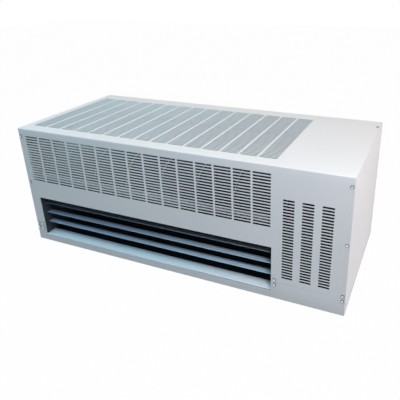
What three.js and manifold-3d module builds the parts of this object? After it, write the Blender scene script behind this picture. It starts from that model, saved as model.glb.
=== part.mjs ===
// Air curtain of the one metre class, lying on the side that goes against the wall.
// Millimetres, +Z up. The outlet looks along -Y, the long side runs along X, and the
// origin is the middle of the resting face. Every sub-part is laid out from the lower
// left front corner of the housing, so x is the distance from the left end, y the depth
// behind the front face and z the height above the wall plate.

import * as THREE from 'three'
import { mergeVertices } from 'three/addons/utils/BufferGeometryUtils.js'
import Module from 'manifold-3d'

const wasm = await Module()
wasm.setup()

// ---------------------------------------------------------------- housing sizes
const housingWidth = 1070
const housingDepth = 465
const housingHeight = 407
const sheet = 1.5 // thickness of every folded sheet
const seat = 0.3 // gap between pieces that rest on each other
const bendRadius = 3 // outside radius of the fold between front and top
const baseFlange = 56 // height of the wall plate's front flange
const rearFlange = 30 // height of the flanges that meet the back panel
const panelFlange = 20 // width of the side panels' inward flanges
const outsideProud = 2.5 // how far screw heads and grommets stand off the sheet

// ---------------------------------------------------------------- outlet sizes
const fanEndInset = 32 // from the left end to the fan's left end plate
const electricsBay = 204 // width of the compartment behind the narrow vents
const endPlateFlange = 12.5 // flanges of the fan's end plates
const endPlateHeight = 345
const outletReveal = 2 // from an end plate to the side of the outlet
const outletBottom = 25.5
const outletHeight = 141
const lipDepth = 40
const lipFrontFlange = 20
const lipRearFlange = 8

// ---------------------------------------------------------------- grille sizes
const slotHeight = 5
const slotWeb = 3.8 // metal between two rows
const slotLength = 50
const columnWeb = 6 // metal between two columns
const grilleInset = 25.1 // from the left end to the first column
const frontGrilleDrop = 23.4 // from the top face to the first front row
const frontGrilleEnd = 226 // the front rows stop above this height
const topGrilleFront = 44 // from the front face to the top grille
const topGrilleRear = 56 // from the rear edge to the top grille
const topRowsJoined = 6 // rows of the top grille that one opening stands for
const ventColumns = 3
const ventLength = 30.5
const ventInset = 27 // from the partition to the first vent column
const ventEndInset = 44 // from the last vent column to the right end
const ventDrop = 89.2 // from the top face to the first vent row
const ventEnd = 16 // the vents stop this far above the cover's lower edge

// ---------------------------------------------------------------- vane sizes
const vaneCount = 3
const vaneChord = 30
const vaneThickness = 3
const vaneRecess = 18 // from the front face to a vane's front edge
const vaneLowMargin = 38 // from the outlet's lower edge to the lowest pivot
const vaneHighMargin = 31.2 // from the highest pivot to the outlet's upper edge
const vaneTilt = 9 // degrees, front edge up
const vaneEndGap = 0.8
const vanePinRadius = 3
const vanePinSides = 8

// ---------------------------------------------------------------- fan sizes
const rotorRadius = 90
const rotorDepth = 135 // depth of the axis behind the front face
const rotorRise = 236 // height of the axis above the wall plate
const rotorGapLeft = 6.5
const rotorGapRight = 12
const rotorBay = 121.5 // distance between two support rings
const rotorSides = 16
const discThickness = 2
const ringWidth = 24
const bladeCount = 12
const bladeChord = 20
const bladeCamber = 3
const bladePitchAngle = 62 // degrees between a blade's chord and the radius
const rimCover = 3 // metal of the ring outside the blades
const hubRadius = 20
const hubLength = 14
const stubRadius = 8
const shaftSides = 12
const runningGap = 0.3

// ---------------------------------------------------------------- scroll sizes
const scrollGap = 8 // between rotor and scroll where they are closest
const scrollStart = 60 // degrees above the horizontal, behind the axis
const scrollEnd = -90 // straight below the axis
const scrollFloor = 28 // height of the scroll plate below the axis
const scrollSteps = 12
const tongueGap = 6
const tongueNoseAngle = 218 // degrees from straight back, over the top
const tongueFlange = 22 // upright edge above the tongue
const tongueFlangeGap = 15 // from the rotor forward to that edge
const tongueFoot = 14 // edge behind the cover, above the outlet

// ---------------------------------------------------------------- bearing and motor sizes
const bearingRadius = 16
const bearingWidth = 11
const rubberWall = 4
const bearingHousingWall = 5
const bearingFlangeRadius = 36
const bearingFlange = 2.5
const motorShaftRadius = 7
const motorRadius = 58
const motorLength = 106
const motorFlangeRadius = 72
const motorFlange = 5
const motorBellRadius = 44
const motorBell = 16
const motorSides = 16
const bufferRadius = 8
const bufferLength = 17.4
const bufferCircle = 60 // radius of the circle that the rubber buffers stand on
const bufferCount = 4
const shaftHoleRadius = 30 // hole in the partition round the motor shaft

// ---------------------------------------------------------------- electrics sizes
const railWidth = 35
const railHeight = 7.5
const railWall = 1
const railInset = 24 // from partition and right side panel to the rail's ends
const railDepth = 345 // depth of the rail's middle
const terminalWidth = 62
const terminalDepth = 46
const terminalHeight = 40
const contactorWidth = 45
const contactorDepth = 62
const contactorHeight = 74
const contactorGap = 12
const capacitorRadius = 20
const capacitorLength = 80
const capacitorDepth = 285
const clipWall = 2
const clipWidth = 18
const grommetRadius = 17
const grommetCore = 5
const grommetNeck = 3
const grommetRise = 120
const grommetSpacing = 70
const grommetSides = 12

// ---------------------------------------------------------------- fastener sizes
const screwHeadRadius = 4.75
const screwCrown = 0.7 // crown radius as a share of the head radius
const screwRadius = 2
const screwLength = 8
const screwSides = 6
const screwClearance = 0.3
const screwInset = 7.5 // from either end of the housing
const screwAside = 8 // from an end plate's inner face to the screws in its flange
const screwHigh = 25.5 // below the top face
const screwMiddle = 187
const screwFromSeam = 8 // above and below the seam over the base flange
const screwFromRear = 58
const keyholeRadius = 9
const keyholeSlot = 10
const keyholeTravel = 22
const keyholeInset = 100
const keyholeFromRear = 65
const keyholeCount = 3
const keyholeSides = 10

// ---------------------------------------------------------------- places that follow
const innerFace = sheet + seat // first free depth behind a covering sheet
const fanLeft = fanEndInset + sheet // inner face of the left end plate
const fanRight = housingWidth - electricsBay - sheet // inner face of the partition
const bayLeft = fanRight + sheet
const outletLeft = fanLeft + outletReveal
const outletRight = fanRight - outletReveal
const outletTop = outletBottom + outletHeight
const coverFoot = baseFlange + seat
const rearInside = housingDepth - innerFace
const topInside = housingHeight - innerFace

// ---------------------------------------------------------------- materials
function paint(color, roughness, metalness) {
  return new THREE.MeshStandardMaterial({ color, roughness, metalness })
}
const whitePaint = paint(0xd9dde0, 0.45, 0.1)
const bluePaint = paint(0xb4c6d4, 0.4, 0.1)
const zincSheet = paint(0x9aa0a2, 0.45, 0.8)
const fanSteel = paint(0x8a8f92, 0.5, 0.8)
const shaftSteel = paint(0xb9bcbd, 0.3, 0.9)
const screwZinc = paint(0xa4a8ab, 0.35, 0.85)
const blackRubber = paint(0x1d1e1f, 0.85, 0)
const castMetal = paint(0x4a5258, 0.55, 0.5)
const greyPlastic = paint(0x6f757a, 0.6, 0)
const creamPlastic = paint(0xd8d2bd, 0.55, 0)

// ---------------------------------------------------------------- shared operations
function solidOf(geometry) {
  const bare = geometry.index ? geometry.toNonIndexed() : geometry.clone()
  bare.deleteAttribute('normal')
  bare.deleteAttribute('uv')
  const welded = mergeVertices(bare, 1e-5)
  const corners = welded.index.array
  const kept = []
  for (let i = 0; i < corners.length; i += 3) {
    const [a, b, c] = [corners[i], corners[i + 1], corners[i + 2]]
    if (a !== b && b !== c && c !== a) kept.push(a, b, c)
  }
  const vertProperties = new Float32Array(welded.attributes.position.array)
  const triVerts = new Uint32Array(kept)
  return new wasm.Manifold(new wasm.Mesh({ numProp: 3, vertProperties, triVerts }))
}

function geometryOf(solid) {
  const mesh = solid.getMesh()
  const geometry = new THREE.BufferGeometry()
  geometry.setAttribute('position', new THREE.BufferAttribute(mesh.vertProperties, 3))
  geometry.setIndex(new THREE.BufferAttribute(mesh.triVerts, 1))
  geometry.computeVertexNormals()
  return geometry
}

function joined(geometries) {
  return geometryOf(geometries.map(solidOf).reduce((whole, next) => whole.add(next)))
}

// Takes all the tools out of the body. The tools don't touch each other.
function cutBy(body, tools) {
  const waste = tools.map(solidOf).reduce((whole, next) => whole.add(next))
  return geometryOf(solidOf(body).subtract(waste))
}

// A box between two opposite corners.
function boxBetween([x0, y0, z0], [x1, y1, z1]) {
  const box = new THREE.BoxGeometry(x1 - x0, y1 - y0, z1 - z0)
  return box.translate((x0 + x1) / 2, (y0 + y1) / 2, (z0 + z1) / 2)
}

// A section drawn in depth and height, drawn out along X.
function alongX(section, x0, x1) {
  const shape = section.isShape ? section : new THREE.Shape(section)
  const bar = new THREE.ExtrudeGeometry(shape, { depth: x1 - x0, bevelEnabled: false })
  const turn = new THREE.Matrix4().makeBasis(
    new THREE.Vector3(0, 1, 0),
    new THREE.Vector3(0, 0, 1),
    new THREE.Vector3(1, 0, 0)
  )
  return bar.applyMatrix4(turn).translate(x0, 0, 0)
}

// A turned profile of [radius, distance] pairs, its axis along X.
function turned(profile, sides) {
  const points = profile.map(([radius, distance]) => new THREE.Vector2(radius, distance))
  return new THREE.LatheGeometry(points, sides).rotateZ(-Math.PI / 2)
}

function rodX(radius, x0, x1, sides) {
  return turned([[0, x0], [radius, x0], [radius, x1], [0, x1]], sides)
}

function ringX(outer, inner, x0, x1, sides) {
  return turned([[inner, x0], [outer, x0], [outer, x1], [inner, x1], [inner, x0]], sides)
}

// Radius of a faceted hole whose flats clear a round of the given radius.
function holeFor(radius, clearance, sides) {
  return (radius + clearance) / Math.cos(Math.PI / sides)
}

// A strip of sheet that follows a bent line, its thickness on the line's left.
function bentStrip(line, thickness) {
  const inner = line.map((point, i) => {
    const before = line[Math.max(i - 1, 0)]
    const after = line[Math.min(i + 1, line.length - 1)]
    const inward = i > 0 ? point.clone().sub(before).normalize() : after.clone().sub(point).normalize()
    const outward = i < line.length - 1 ? after.clone().sub(point).normalize() : inward
    const normal = new THREE.Vector2(-inward.y - outward.y, inward.x + outward.x).normalize()
    const reach = thickness / (normal.x * -inward.y + normal.y * inward.x)
    return point.clone().addScaledVector(normal, reach)
  })
  return [...line, ...inner.reverse()]
}

function polar(radius, degrees) {
  const angle = THREE.MathUtils.degToRad(degrees)
  return new THREE.Vector2(radius * Math.cos(angle), radius * Math.sin(angle))
}

// Outline of a tray in depth and height, its upper front corner cut off to clear the
// cover's fold.
function trayOutline(depths, heights, wall) {
  const [front, rear] = [depths[0] + wall, depths[1] - wall]
  const [low, high] = [heights[0] + wall, heights[1] - wall]
  return [
    new THREE.Vector2(front, low),
    new THREE.Vector2(rear, low),
    new THREE.Vector2(rear, high),
    new THREE.Vector2(front + bendRadius, high),
    new THREE.Vector2(front, high - bendRadius)
  ]
}

// A tray: a plate across X with flanges on all its sides.
function tray(plateX, flangeX, depths, heights) {
  const [x0, x1] = plateX < flangeX ? [plateX, flangeX] : [flangeX, plateX]
  const open = plateX < flangeX ? [x0 + sheet, x1 + sheet] : [x0 - sheet, x1 - sheet]
  const outside = alongX(trayOutline(depths, heights, 0), x0, x1)
  const inside = alongX(trayOutline(depths, heights, sheet), open[0], open[1])
  return cutBy(outside, [inside])
}

// ---------------------------------------------------------------- screws and their holes
const sideScrewHeights = [
  housingHeight - screwHigh,
  housingHeight - screwMiddle,
  baseFlange + screwFromSeam,
  baseFlange - screwFromSeam
]
const endPlateScrewHeights = [baseFlange + screwFromSeam, baseFlange - screwFromSeam]
const endPlateScrewX = [fanLeft - screwAside, fanRight + screwAside]
const sideScrewX = [screwInset, housingWidth - screwInset]
const topScrewDepth = housingDepth - screwFromRear

const frontScrews = [
  ...sideScrewX.flatMap((x) => sideScrewHeights.map((z) => ({ x, z }))),
  ...endPlateScrewX.flatMap((x) => endPlateScrewHeights.map((z) => ({ x, z })))
]

function frontScrewHole({ x, z }) {
  const radius = holeFor(screwRadius, screwClearance, screwSides)
  const hole = rodX(radius, -sheet, innerFace + 2 * sheet, screwSides)
  return hole.rotateZ(Math.PI / 2).translate(x, 0, z)
}

function topScrewHole(x) {
  const radius = holeFor(screwRadius, screwClearance, screwSides)
  const hole = rodX(radius, -sheet, innerFace + 2 * sheet, screwSides)
  return hole.rotateY(Math.PI / 2).translate(x, topScrewDepth, housingHeight)
}

// A pan head with its shank, the head's underside at the origin and the shank along -Z.
function screwGeometry() {
  const headHeight = outsideProud - seat
  const profile = [
    [0, -screwLength],
    [screwRadius, -screwLength],
    [screwRadius, 0],
    [screwHeadRadius, 0],
    [screwHeadRadius, headHeight / 2],
    [screwHeadRadius * screwCrown, headHeight],
    [0, headHeight]
  ]
  return turned(profile, screwSides).rotateY(-Math.PI / 2)
}

// ---------------------------------------------------------------- grille patterns
// Lower edges of as many equal openings as fit between two limits.
function stack(from, to, opening, web) {
  const count = Math.floor((to - from + web) / (opening + web))
  return Array.from({ length: count }, (_, i) => from + i * (opening + web))
}

function frontGrilleSlots() {
  const columns = stack(grilleInset, fanRight, slotLength, columnWeb)
  const drops = stack(frontGrilleDrop, housingHeight - frontGrilleEnd, slotHeight, slotWeb)
  return columns.flatMap((x) => drops.map((drop) => {
    const top = housingHeight - drop
    return boxBetween([x, -sheet, top - slotHeight], [x + slotLength, 2 * sheet, top])
  }))
}

function topGrilleSlots() {
  const columns = stack(grilleInset, fanRight, slotLength, columnWeb)
  const opening = topRowsJoined * slotHeight
  const zone = housingDepth - topGrilleFront - topGrilleRear
  const rows = stack(0, zone, opening, topRowsJoined * slotWeb)
  const first = topGrilleFront + (zone - rows.at(-1) - opening) / 2
  return columns.flatMap((x) => rows.map((row) => boxBetween(
    [x, first + row, housingHeight - 2 * sheet],
    [x + slotLength, first + row + opening, housingHeight + sheet]
  )))
}

function ventSlots() {
  const from = bayLeft + ventInset
  const to = housingWidth - ventEndInset
  const pitch = (to - from - ventLength) / (ventColumns - 1)
  const drops = stack(ventDrop, housingHeight - coverFoot - ventEnd, slotHeight, slotWeb)
  return Array.from({ length: ventColumns }, (_, i) => from + i * pitch)
    .flatMap((x) => drops.map((drop) => {
      const top = housingHeight - drop
      return boxBetween([x, -sheet, top - slotHeight], [x + ventLength, 2 * sheet, top])
    }))
}

// ---------------------------------------------------------------- housing sheets
function outletCut() {
  return boxBetween([outletLeft, -sheet, outletBottom], [outletRight, 2 * sheet, outletTop])
}

// Front, top and a short rear flange folded from one sheet, with both grilles.
function coverGeometry() {
  const section = new THREE.Shape()
  section.moveTo(0, coverFoot)
  section.lineTo(sheet, coverFoot)
  section.lineTo(sheet, housingHeight - bendRadius)
  section.absarc(bendRadius, housingHeight - bendRadius, bendRadius - sheet, Math.PI, Math.PI / 2, true)
  section.lineTo(housingDepth - sheet, housingHeight - sheet)
  section.lineTo(housingDepth - sheet, housingHeight - rearFlange)
  section.lineTo(housingDepth, housingHeight - rearFlange)
  section.lineTo(housingDepth, housingHeight)
  section.lineTo(bendRadius, housingHeight)
  section.absarc(bendRadius, housingHeight - bendRadius, bendRadius, Math.PI / 2, Math.PI, false)
  section.closePath()
  const points = section.extractPoints(3).shape
  const blank = alongX(points, 0, housingWidth)
  const holes = frontScrews.filter(({ z }) => z > baseFlange).map(frontScrewHole)
  const topHoles = sideScrewX.map(topScrewHole)
  const slots = [...frontGrilleSlots(), ...topGrilleSlots(), ...ventSlots()]
  return cutBy(blank, [outletCut(), ...holes, ...topHoles, ...slots])
}

function keyhole(x) {
  const through = 2 * sheet
  const y = housingDepth - keyholeFromRear
  const head = rodX(keyholeRadius, -through, through, keyholeSides).rotateY(Math.PI / 2)
  const slot = boxBetween(
    [-keyholeSlot / 2, 0, -through],
    [keyholeSlot / 2, keyholeTravel, through]
  )
  return joined([head, slot]).translate(x, y, 0)
}

// Wall plate with a tall front flange, a rear flange and the keyholes it hangs by.
function basePanelGeometry() {
  const section = [
    new THREE.Vector2(0, 0),
    new THREE.Vector2(housingDepth, 0),
    new THREE.Vector2(housingDepth, rearFlange),
    new THREE.Vector2(housingDepth - sheet, rearFlange),
    new THREE.Vector2(housingDepth - sheet, sheet),
    new THREE.Vector2(sheet, sheet),
    new THREE.Vector2(sheet, baseFlange),
    new THREE.Vector2(0, baseFlange)
  ]
  const span = housingWidth - 2 * keyholeInset
  const keyholes = Array.from({ length: keyholeCount }, (_, i) =>
    keyhole(keyholeInset + (i * span) / (keyholeCount - 1))
  )
  const holes = frontScrews.filter(({ z }) => z < baseFlange).map(frontScrewHole)
  return cutBy(alongX(section, 0, housingWidth), [outletCut(), ...keyholes, ...holes])
}

const grommetPlaces = [-0.5, 0.5].map((side) =>
  (bayLeft + housingWidth - panelFlange) / 2 + side * grommetSpacing
)

// Plain sheet between the rear flanges, with round holes for the cable grommets.
function backPanelGeometry() {
  const plate = boxBetween(
    [0, housingDepth - sheet, rearFlange + seat],
    [housingWidth, housingDepth, housingHeight - rearFlange - seat]
  )
  const holeRadius = holeFor(grommetRadius - grommetNeck, seat, grommetSides)
  const holes = grommetPlaces.map((x) =>
    rodX(holeRadius, -2 * sheet, 2 * sheet, grommetSides)
      .rotateZ(Math.PI / 2)
      .translate(x, housingDepth, grommetRise)
  )
  return cutBy(plate, holes)
}

function sidePanelGeometry(isLeft) {
  const plateX = isLeft ? 0 : housingWidth
  const flangeX = isLeft ? panelFlange : housingWidth - panelFlange
  const pan = tray(plateX, flangeX, [innerFace, rearInside], [innerFace, topInside])
  const screwX = isLeft ? sideScrewX[0] : sideScrewX[1]
  const holes = sideScrewHeights.map((z) => frontScrewHole({ x: screwX, z }))
  return cutBy(pan, [...holes, topScrewHole(screwX)])
}

// ---------------------------------------------------------------- outlet and scroll
const vaneDepth = vaneRecess + vaneChord / 2
const vaneStep = (outletHeight - vaneLowMargin - vaneHighMargin) / (vaneCount - 1)
const vaneHeights = Array.from({ length: vaneCount }, (_, i) =>
  outletBottom + vaneLowMargin + i * vaneStep
)

function vanePinHoles(x) {
  const radius = holeFor(vanePinRadius, runningGap, vanePinSides)
  return vaneHeights.map((z) =>
    rodX(radius, -2 * sheet, 2 * sheet, vanePinSides).translate(x, vaneDepth, z)
  )
}

function fanEndPlateGeometry() {
  const pan = tray(fanLeft, fanLeft - endPlateFlange, [innerFace, rearInside], [innerFace, endPlateHeight])
  const shaftHole = rodX(bearingRadius, -2 * sheet, 2 * sheet, shaftSides)
  shaftHole.translate(fanLeft, rotorDepth, rotorRise)
  const screwHoles = endPlateScrewHeights.map((z) => frontScrewHole({ x: endPlateScrewX[0], z }))
  return cutBy(pan, [shaftHole, ...vanePinHoles(fanLeft), ...screwHoles])
}

function partitionGeometry() {
  const pan = tray(fanRight, fanRight + endPlateFlange, [innerFace, rearInside], [innerFace, topInside])
  const shaftHole = rodX(shaftHoleRadius, -2 * sheet, 2 * sheet, shaftSides)
  shaftHole.translate(fanRight, rotorDepth, rotorRise)
  const screwHoles = endPlateScrewHeights.map((z) => frontScrewHole({ x: endPlateScrewX[1], z }))
  return cutBy(pan, [shaftHole, ...vanePinHoles(fanRight), ...screwHoles])
}

// Deck behind the rotor, then a spiral that opens towards the outlet's lower lip.
function scrollPlateGeometry() {
  const axis = new THREE.Vector2(rotorDepth, rotorRise)
  const startRadius = rotorRadius + scrollGap
  const endRadius = rotorRise - scrollFloor
  const spiral = Array.from({ length: scrollSteps + 1 }, (_, i) => {
    const share = i / scrollSteps
    const radius = startRadius * (endRadius / startRadius) ** share
    return polar(radius, scrollStart + share * (scrollEnd - scrollStart)).add(axis)
  })
  const deckRear = new THREE.Vector2(rearInside, spiral[0].y)
  const lipEnd = new THREE.Vector2(innerFace + lipDepth + seat, outletBottom - sheet)
  const strip = bentStrip([deckRear, ...spiral, lipEnd], sheet)
  return alongX(strip, fanLeft + seat, fanRight - seat)
}

// Upper wall of the outlet, its nose close to the rotor and an upright edge above it.
function tonguePlateGeometry() {
  const axis = new THREE.Vector2(rotorDepth, rotorRise)
  const nose = polar(rotorRadius + tongueGap, tongueNoseAngle).add(axis)
  const shoulder = polar(rotorRadius + tongueGap + sheet, tongueNoseAngle - 17).add(axis)
  const edgeDepth = rotorDepth - rotorRadius - tongueFlangeGap
  const roof = outletTop + 2 * sheet
  const line = [
    new THREE.Vector2(edgeDepth, rotorRise - tongueFlange / 2 + tongueFlange),
    new THREE.Vector2(edgeDepth, rotorRise - tongueFlange / 2),
    shoulder,
    nose,
    new THREE.Vector2((innerFace + nose.x) * 0.65, roof),
    new THREE.Vector2(innerFace, roof),
    new THREE.Vector2(innerFace, roof + tongueFoot)
  ]
  const strip = bentStrip(line.reverse(), sheet)
  return alongX(strip, fanLeft + seat, fanRight - seat)
}

// Level lower wall of the outlet with an edge folded down at front and rear.
function outletLipGeometry() {
  const rear = innerFace + lipDepth
  const section = [
    new THREE.Vector2(innerFace, outletBottom),
    new THREE.Vector2(innerFace, outletBottom - lipFrontFlange),
    new THREE.Vector2(innerFace + sheet, outletBottom - lipFrontFlange),
    new THREE.Vector2(innerFace + sheet, outletBottom - sheet),
    new THREE.Vector2(rear - sheet, outletBottom - sheet),
    new THREE.Vector2(rear - sheet, outletBottom - lipRearFlange),
    new THREE.Vector2(rear, outletBottom - lipRearFlange),
    new THREE.Vector2(rear, outletBottom)
  ]
  return alongX(section, fanLeft + seat, fanRight - seat)
}

// A long lens-shaped blade with a pin at each end, its pivot at the origin.
function vaneGeometry() {
  const half = vaneChord / 2
  const shoulder = half * 0.7
  const thick = vaneThickness / 2
  const section = [
    new THREE.Vector2(-half, 0),
    new THREE.Vector2(-shoulder, -thick),
    new THREE.Vector2(shoulder, -thick),
    new THREE.Vector2(half, 0),
    new THREE.Vector2(shoulder, thick),
    new THREE.Vector2(-shoulder, thick)
  ]
  const reach = (fanRight - fanLeft) / 2
  const blade = alongX(section, vaneEndGap - reach, reach - vaneEndGap)
  const pin = rodX(vanePinRadius, -reach - sheet, reach + sheet, vanePinSides)
  return joined([blade, pin])
}

// ---------------------------------------------------------------- fan
const rotorLeft = fanLeft + rotorGapLeft
const rotorRight = fanRight - rotorGapRight
const rotorLength = rotorRight - rotorLeft

// Support rings counted back from the driven end; the bay left over is the first one.
function ringPlaces() {
  const count = Math.ceil(rotorLength / rotorBay) - 1
  return Array.from({ length: count }, (_, i) => rotorLength - discThickness - (i + 1) * rotorBay)
}

// One blade: a thin curved section between two radii, lying along the rotor.
function bladeGeometry(turn) {
  const outer = polar(rotorRadius - rimCover, 0)
  const lean = THREE.MathUtils.degToRad(180 - bladePitchAngle)
  const inner = new THREE.Vector2(Math.cos(lean), Math.sin(lean)).multiplyScalar(bladeChord).add(outer)
  const middle = outer.clone().add(inner).multiplyScalar(0.5)
  const camber = new THREE.Vector2(inner.y - outer.y, outer.x - inner.x).normalize()
  middle.addScaledVector(camber, bladeCamber)
  const overlap = discThickness / 2
  return alongX([outer, inner, middle], overlap, rotorLength - overlap).rotateX(turn)
}

function rotorGeometry() {
  const bore = holeFor(stubRadius, 0, shaftSides)
  const hubLeft = ringX(hubRadius, bore + runningGap, 0, hubLength, shaftSides)
  const hubRight = ringX(
    hubRadius,
    holeFor(motorShaftRadius, 0, shaftSides) + runningGap,
    rotorLength - hubLength,
    rotorLength,
    shaftSides
  )
  const endDisc = (x) => ringX(rotorRadius, (bore + hubRadius) / 2, x, x + discThickness, rotorSides)
  const supports = ringPlaces().map((x) =>
    ringX(rotorRadius, rotorRadius - ringWidth, x, x + discThickness, rotorSides)
  )
  const blades = Array.from({ length: bladeCount }, (_, i) =>
    bladeGeometry(((i + 0.5) * 2 * Math.PI) / bladeCount)
  )
  return joined([
    endDisc(0),
    endDisc(rotorLength - discThickness),
    hubLeft,
    hubRight,
    ...supports,
    ...blades
  ])
}

// ---------------------------------------------------------------- assembly
function named(name, geometry, material) {
  const mesh = new THREE.Mesh(geometry, material)
  mesh.name = name
  return mesh
}

function placed(mesh, x, y, z) {
  mesh.position.set(x, y, z)
  return mesh
}

function housingGroup() {
  const group = new THREE.Group()
  group.add(named('base_panel', basePanelGeometry(), whitePaint))
  group.add(named('back_panel', backPanelGeometry(), whitePaint))
  group.add(named('side_panel_left', sidePanelGeometry(true), whitePaint))
  group.add(named('side_panel_right', sidePanelGeometry(false), whitePaint))
  group.add(named('cover', coverGeometry(), whitePaint))
  return group
}

function outletGroup() {
  const group = new THREE.Group()
  group.add(named('fan_end_plate', fanEndPlateGeometry(), zincSheet))
  group.add(named('bay_partition', partitionGeometry(), zincSheet))
  group.add(named('scroll_plate', scrollPlateGeometry(), zincSheet))
  group.add(named('tongue_plate', tonguePlateGeometry(), bluePaint))
  group.add(named('outlet_lip', outletLipGeometry(), bluePaint))
  const blade = vaneGeometry()
  vaneHeights.forEach((z, i) => {
    const vane = named(`vane_${i + 1}`, blade, bluePaint)
    vane.rotation.x = -THREE.MathUtils.degToRad(vaneTilt)
    group.add(placed(vane, (fanLeft + fanRight) / 2, vaneDepth, z))
  })
  return group
}

// Everything on the fan's axis, measured from the rotor's left end.
function fanGroup() {
  const group = new THREE.Group()
  group.position.set(rotorLeft, rotorDepth, rotorRise)
  group.add(named('fan_rotor', rotorGeometry(), fanSteel))
  const plateFace = -rotorGapLeft - sheet
  const housingEnd = plateFace - seat - bearingFlange - bearingWidth
  const stub = rodX(stubRadius, housingEnd + sheet, hubLength - sheet, shaftSides)
  group.add(named('rotor_stub_shaft', stub, shaftSteel))
  const bearingBore = holeFor(stubRadius, runningGap, shaftSides)
  const bearing = ringX(bearingRadius, bearingBore, housingEnd, housingEnd + bearingWidth, shaftSides)
  group.add(named('ball_bearing', bearing, shaftSteel))
  const rubberBore = bearingRadius + seat
  const rubberOuter = rubberBore + rubberWall
  const rubber = ringX(rubberOuter, rubberBore, housingEnd, housingEnd + bearingWidth, shaftSides)
  group.add(named('bearing_rubber_ring', rubber, blackRubber))
  const castBore = rubberOuter + seat
  const castOuter = castBore + bearingHousingWall
  const cast = turned(
    [
      [castBore, housingEnd],
      [castOuter, housingEnd],
      [castOuter, plateFace - seat - bearingFlange],
      [bearingFlangeRadius, plateFace - seat - bearingFlange],
      [bearingFlangeRadius, plateFace - seat],
      [castBore, plateFace - seat],
      [castBore, housingEnd]
    ],
    shaftSides
  )
  group.add(named('bearing_housing', cast, castMetal))
  return group
}

function motorGroup() {
  const group = new THREE.Group()
  group.position.set(bayLeft + seat, rotorDepth, rotorRise)
  const flangeFace = bufferLength + seat
  const bodyEnd = flangeFace + motorLength
  const shaftBore = holeFor(motorShaftRadius, runningGap, shaftSides)
  const body = turned(
    [
      [shaftBore, flangeFace],
      [motorFlangeRadius, flangeFace],
      [motorFlangeRadius, flangeFace + motorFlange],
      [motorRadius, flangeFace + motorFlange],
      [motorRadius, bodyEnd],
      [motorBellRadius, bodyEnd + motorBell],
      [shaftBore, bodyEnd + motorBell],
      [shaftBore, flangeFace]
    ],
    motorSides
  )
  group.add(named('motor_body', body, castMetal))
  const shaftStart = -seat - sheet - rotorGapRight - hubLength
  const shaft = rodX(motorShaftRadius, shaftStart, bodyEnd + motorBell - sheet, shaftSides)
  group.add(named('motor_shaft', shaft, shaftSteel))
  for (let i = 0; i < bufferCount; i += 1) {
    const spot = polar(bufferCircle, ((i + 0.5) * 360) / bufferCount)
    const buffer = named(`motor_buffer_${i + 1}`, rodX(bufferRadius, 0, bufferLength, vanePinSides), blackRubber)
    group.add(placed(buffer, 0, spot.x, spot.y))
  }
  return group
}

// Hat-section rail with its flanges up, lying on the wall plate.
function railGeometry(x0, x1) {
  const half = railWidth / 2
  const web = half * 0.72
  const section = [
    new THREE.Vector2(-web, 0),
    new THREE.Vector2(web, 0),
    new THREE.Vector2(web, railHeight - railWall),
    new THREE.Vector2(half, railHeight - railWall),
    new THREE.Vector2(half, railHeight),
    new THREE.Vector2(web - railWall, railHeight),
    new THREE.Vector2(web - railWall, railWall),
    new THREE.Vector2(railWall - web, railWall),
    new THREE.Vector2(railWall - web, railHeight),
    new THREE.Vector2(-half, railHeight),
    new THREE.Vector2(-half, railHeight - railWall),
    new THREE.Vector2(-web, railHeight - railWall)
  ]
  return alongX(section, x0, x1)
}

// A stepped case that stands on the rail, drawn as its end view.
function railCase(length, depth, height) {
  const half = depth / 2
  const step = half * 0.6
  const section = [
    new THREE.Vector2(-half, 0),
    new THREE.Vector2(half, 0),
    new THREE.Vector2(half, height * 0.6),
    new THREE.Vector2(step, height * 0.6),
    new THREE.Vector2(step, height),
    new THREE.Vector2(-step, height),
    new THREE.Vector2(-step, height * 0.6),
    new THREE.Vector2(-half, height * 0.6)
  ]
  return alongX(section, 0, length)
}

function grommetGeometry() {
  const neck = grommetRadius - grommetNeck
  const profile = [
    [0, -grommetCore],
    [neck - seat, -grommetCore],
    [neck - seat, seat],
    [grommetRadius, seat],
    [grommetRadius * screwCrown, outsideProud],
    [0, outsideProud]
  ]
  return turned(profile, grommetSides).rotateZ(Math.PI / 2)
}

function electricsGroup() {
  const group = new THREE.Group()
  const floor = sheet + seat
  const railStart = bayLeft + railInset
  const railEnd = housingWidth - railInset - panelFlange / 2
  const rail = named('terminal_rail', railGeometry(railStart, railEnd), zincSheet)
  group.add(placed(rail, 0, railDepth, floor))
  const onRail = floor + railHeight + seat
  const block = named('terminal_block', railCase(terminalWidth, terminalDepth, terminalHeight), creamPlastic)
  group.add(placed(block, railStart + seat, railDepth, onRail))
  const contactor = railCase(contactorWidth, contactorDepth, contactorHeight)
  const contactorX = railStart + terminalWidth + contactorGap
  group.add(placed(named('fan_contactor', contactor, greyPlastic), contactorX, railDepth, onRail))
  const clipBore = holeFor(capacitorRadius, seat, shaftSides)
  const clipOuter = clipBore + clipWall
  const canRise = floor + clipOuter
  const can = named('motor_capacitor', rodX(capacitorRadius, 0, capacitorLength, shaftSides), shaftSteel)
  group.add(placed(can, railStart, capacitorDepth, canRise))
  const clip = named('capacitor_clip', ringX(clipOuter, clipBore, 0, clipWidth, shaftSides), zincSheet)
  group.add(placed(clip, railStart + (capacitorLength - clipWidth) / 2, capacitorDepth, canRise))
  grommetPlaces.forEach((x, i) => {
    const grommet = named(`cable_grommet_${i + 1}`, grommetGeometry(), blackRubber)
    group.add(placed(grommet, x, housingDepth, grommetRise))
  })
  return group
}

function screwGroup() {
  const group = new THREE.Group()
  const screw = screwGeometry()
  frontScrews.forEach(({ x, z }, i) => {
    const mesh = named(`front_screw_${i + 1}`, screw, screwZinc)
    mesh.rotation.x = Math.PI / 2
    group.add(placed(mesh, x, -seat, z))
  })
  sideScrewX.forEach((x, i) => {
    const mesh = named(`top_screw_${i + 1}`, screw, screwZinc)
    group.add(placed(mesh, x, topScrewDepth, housingHeight + seat))
  })
  return group
}

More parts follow.
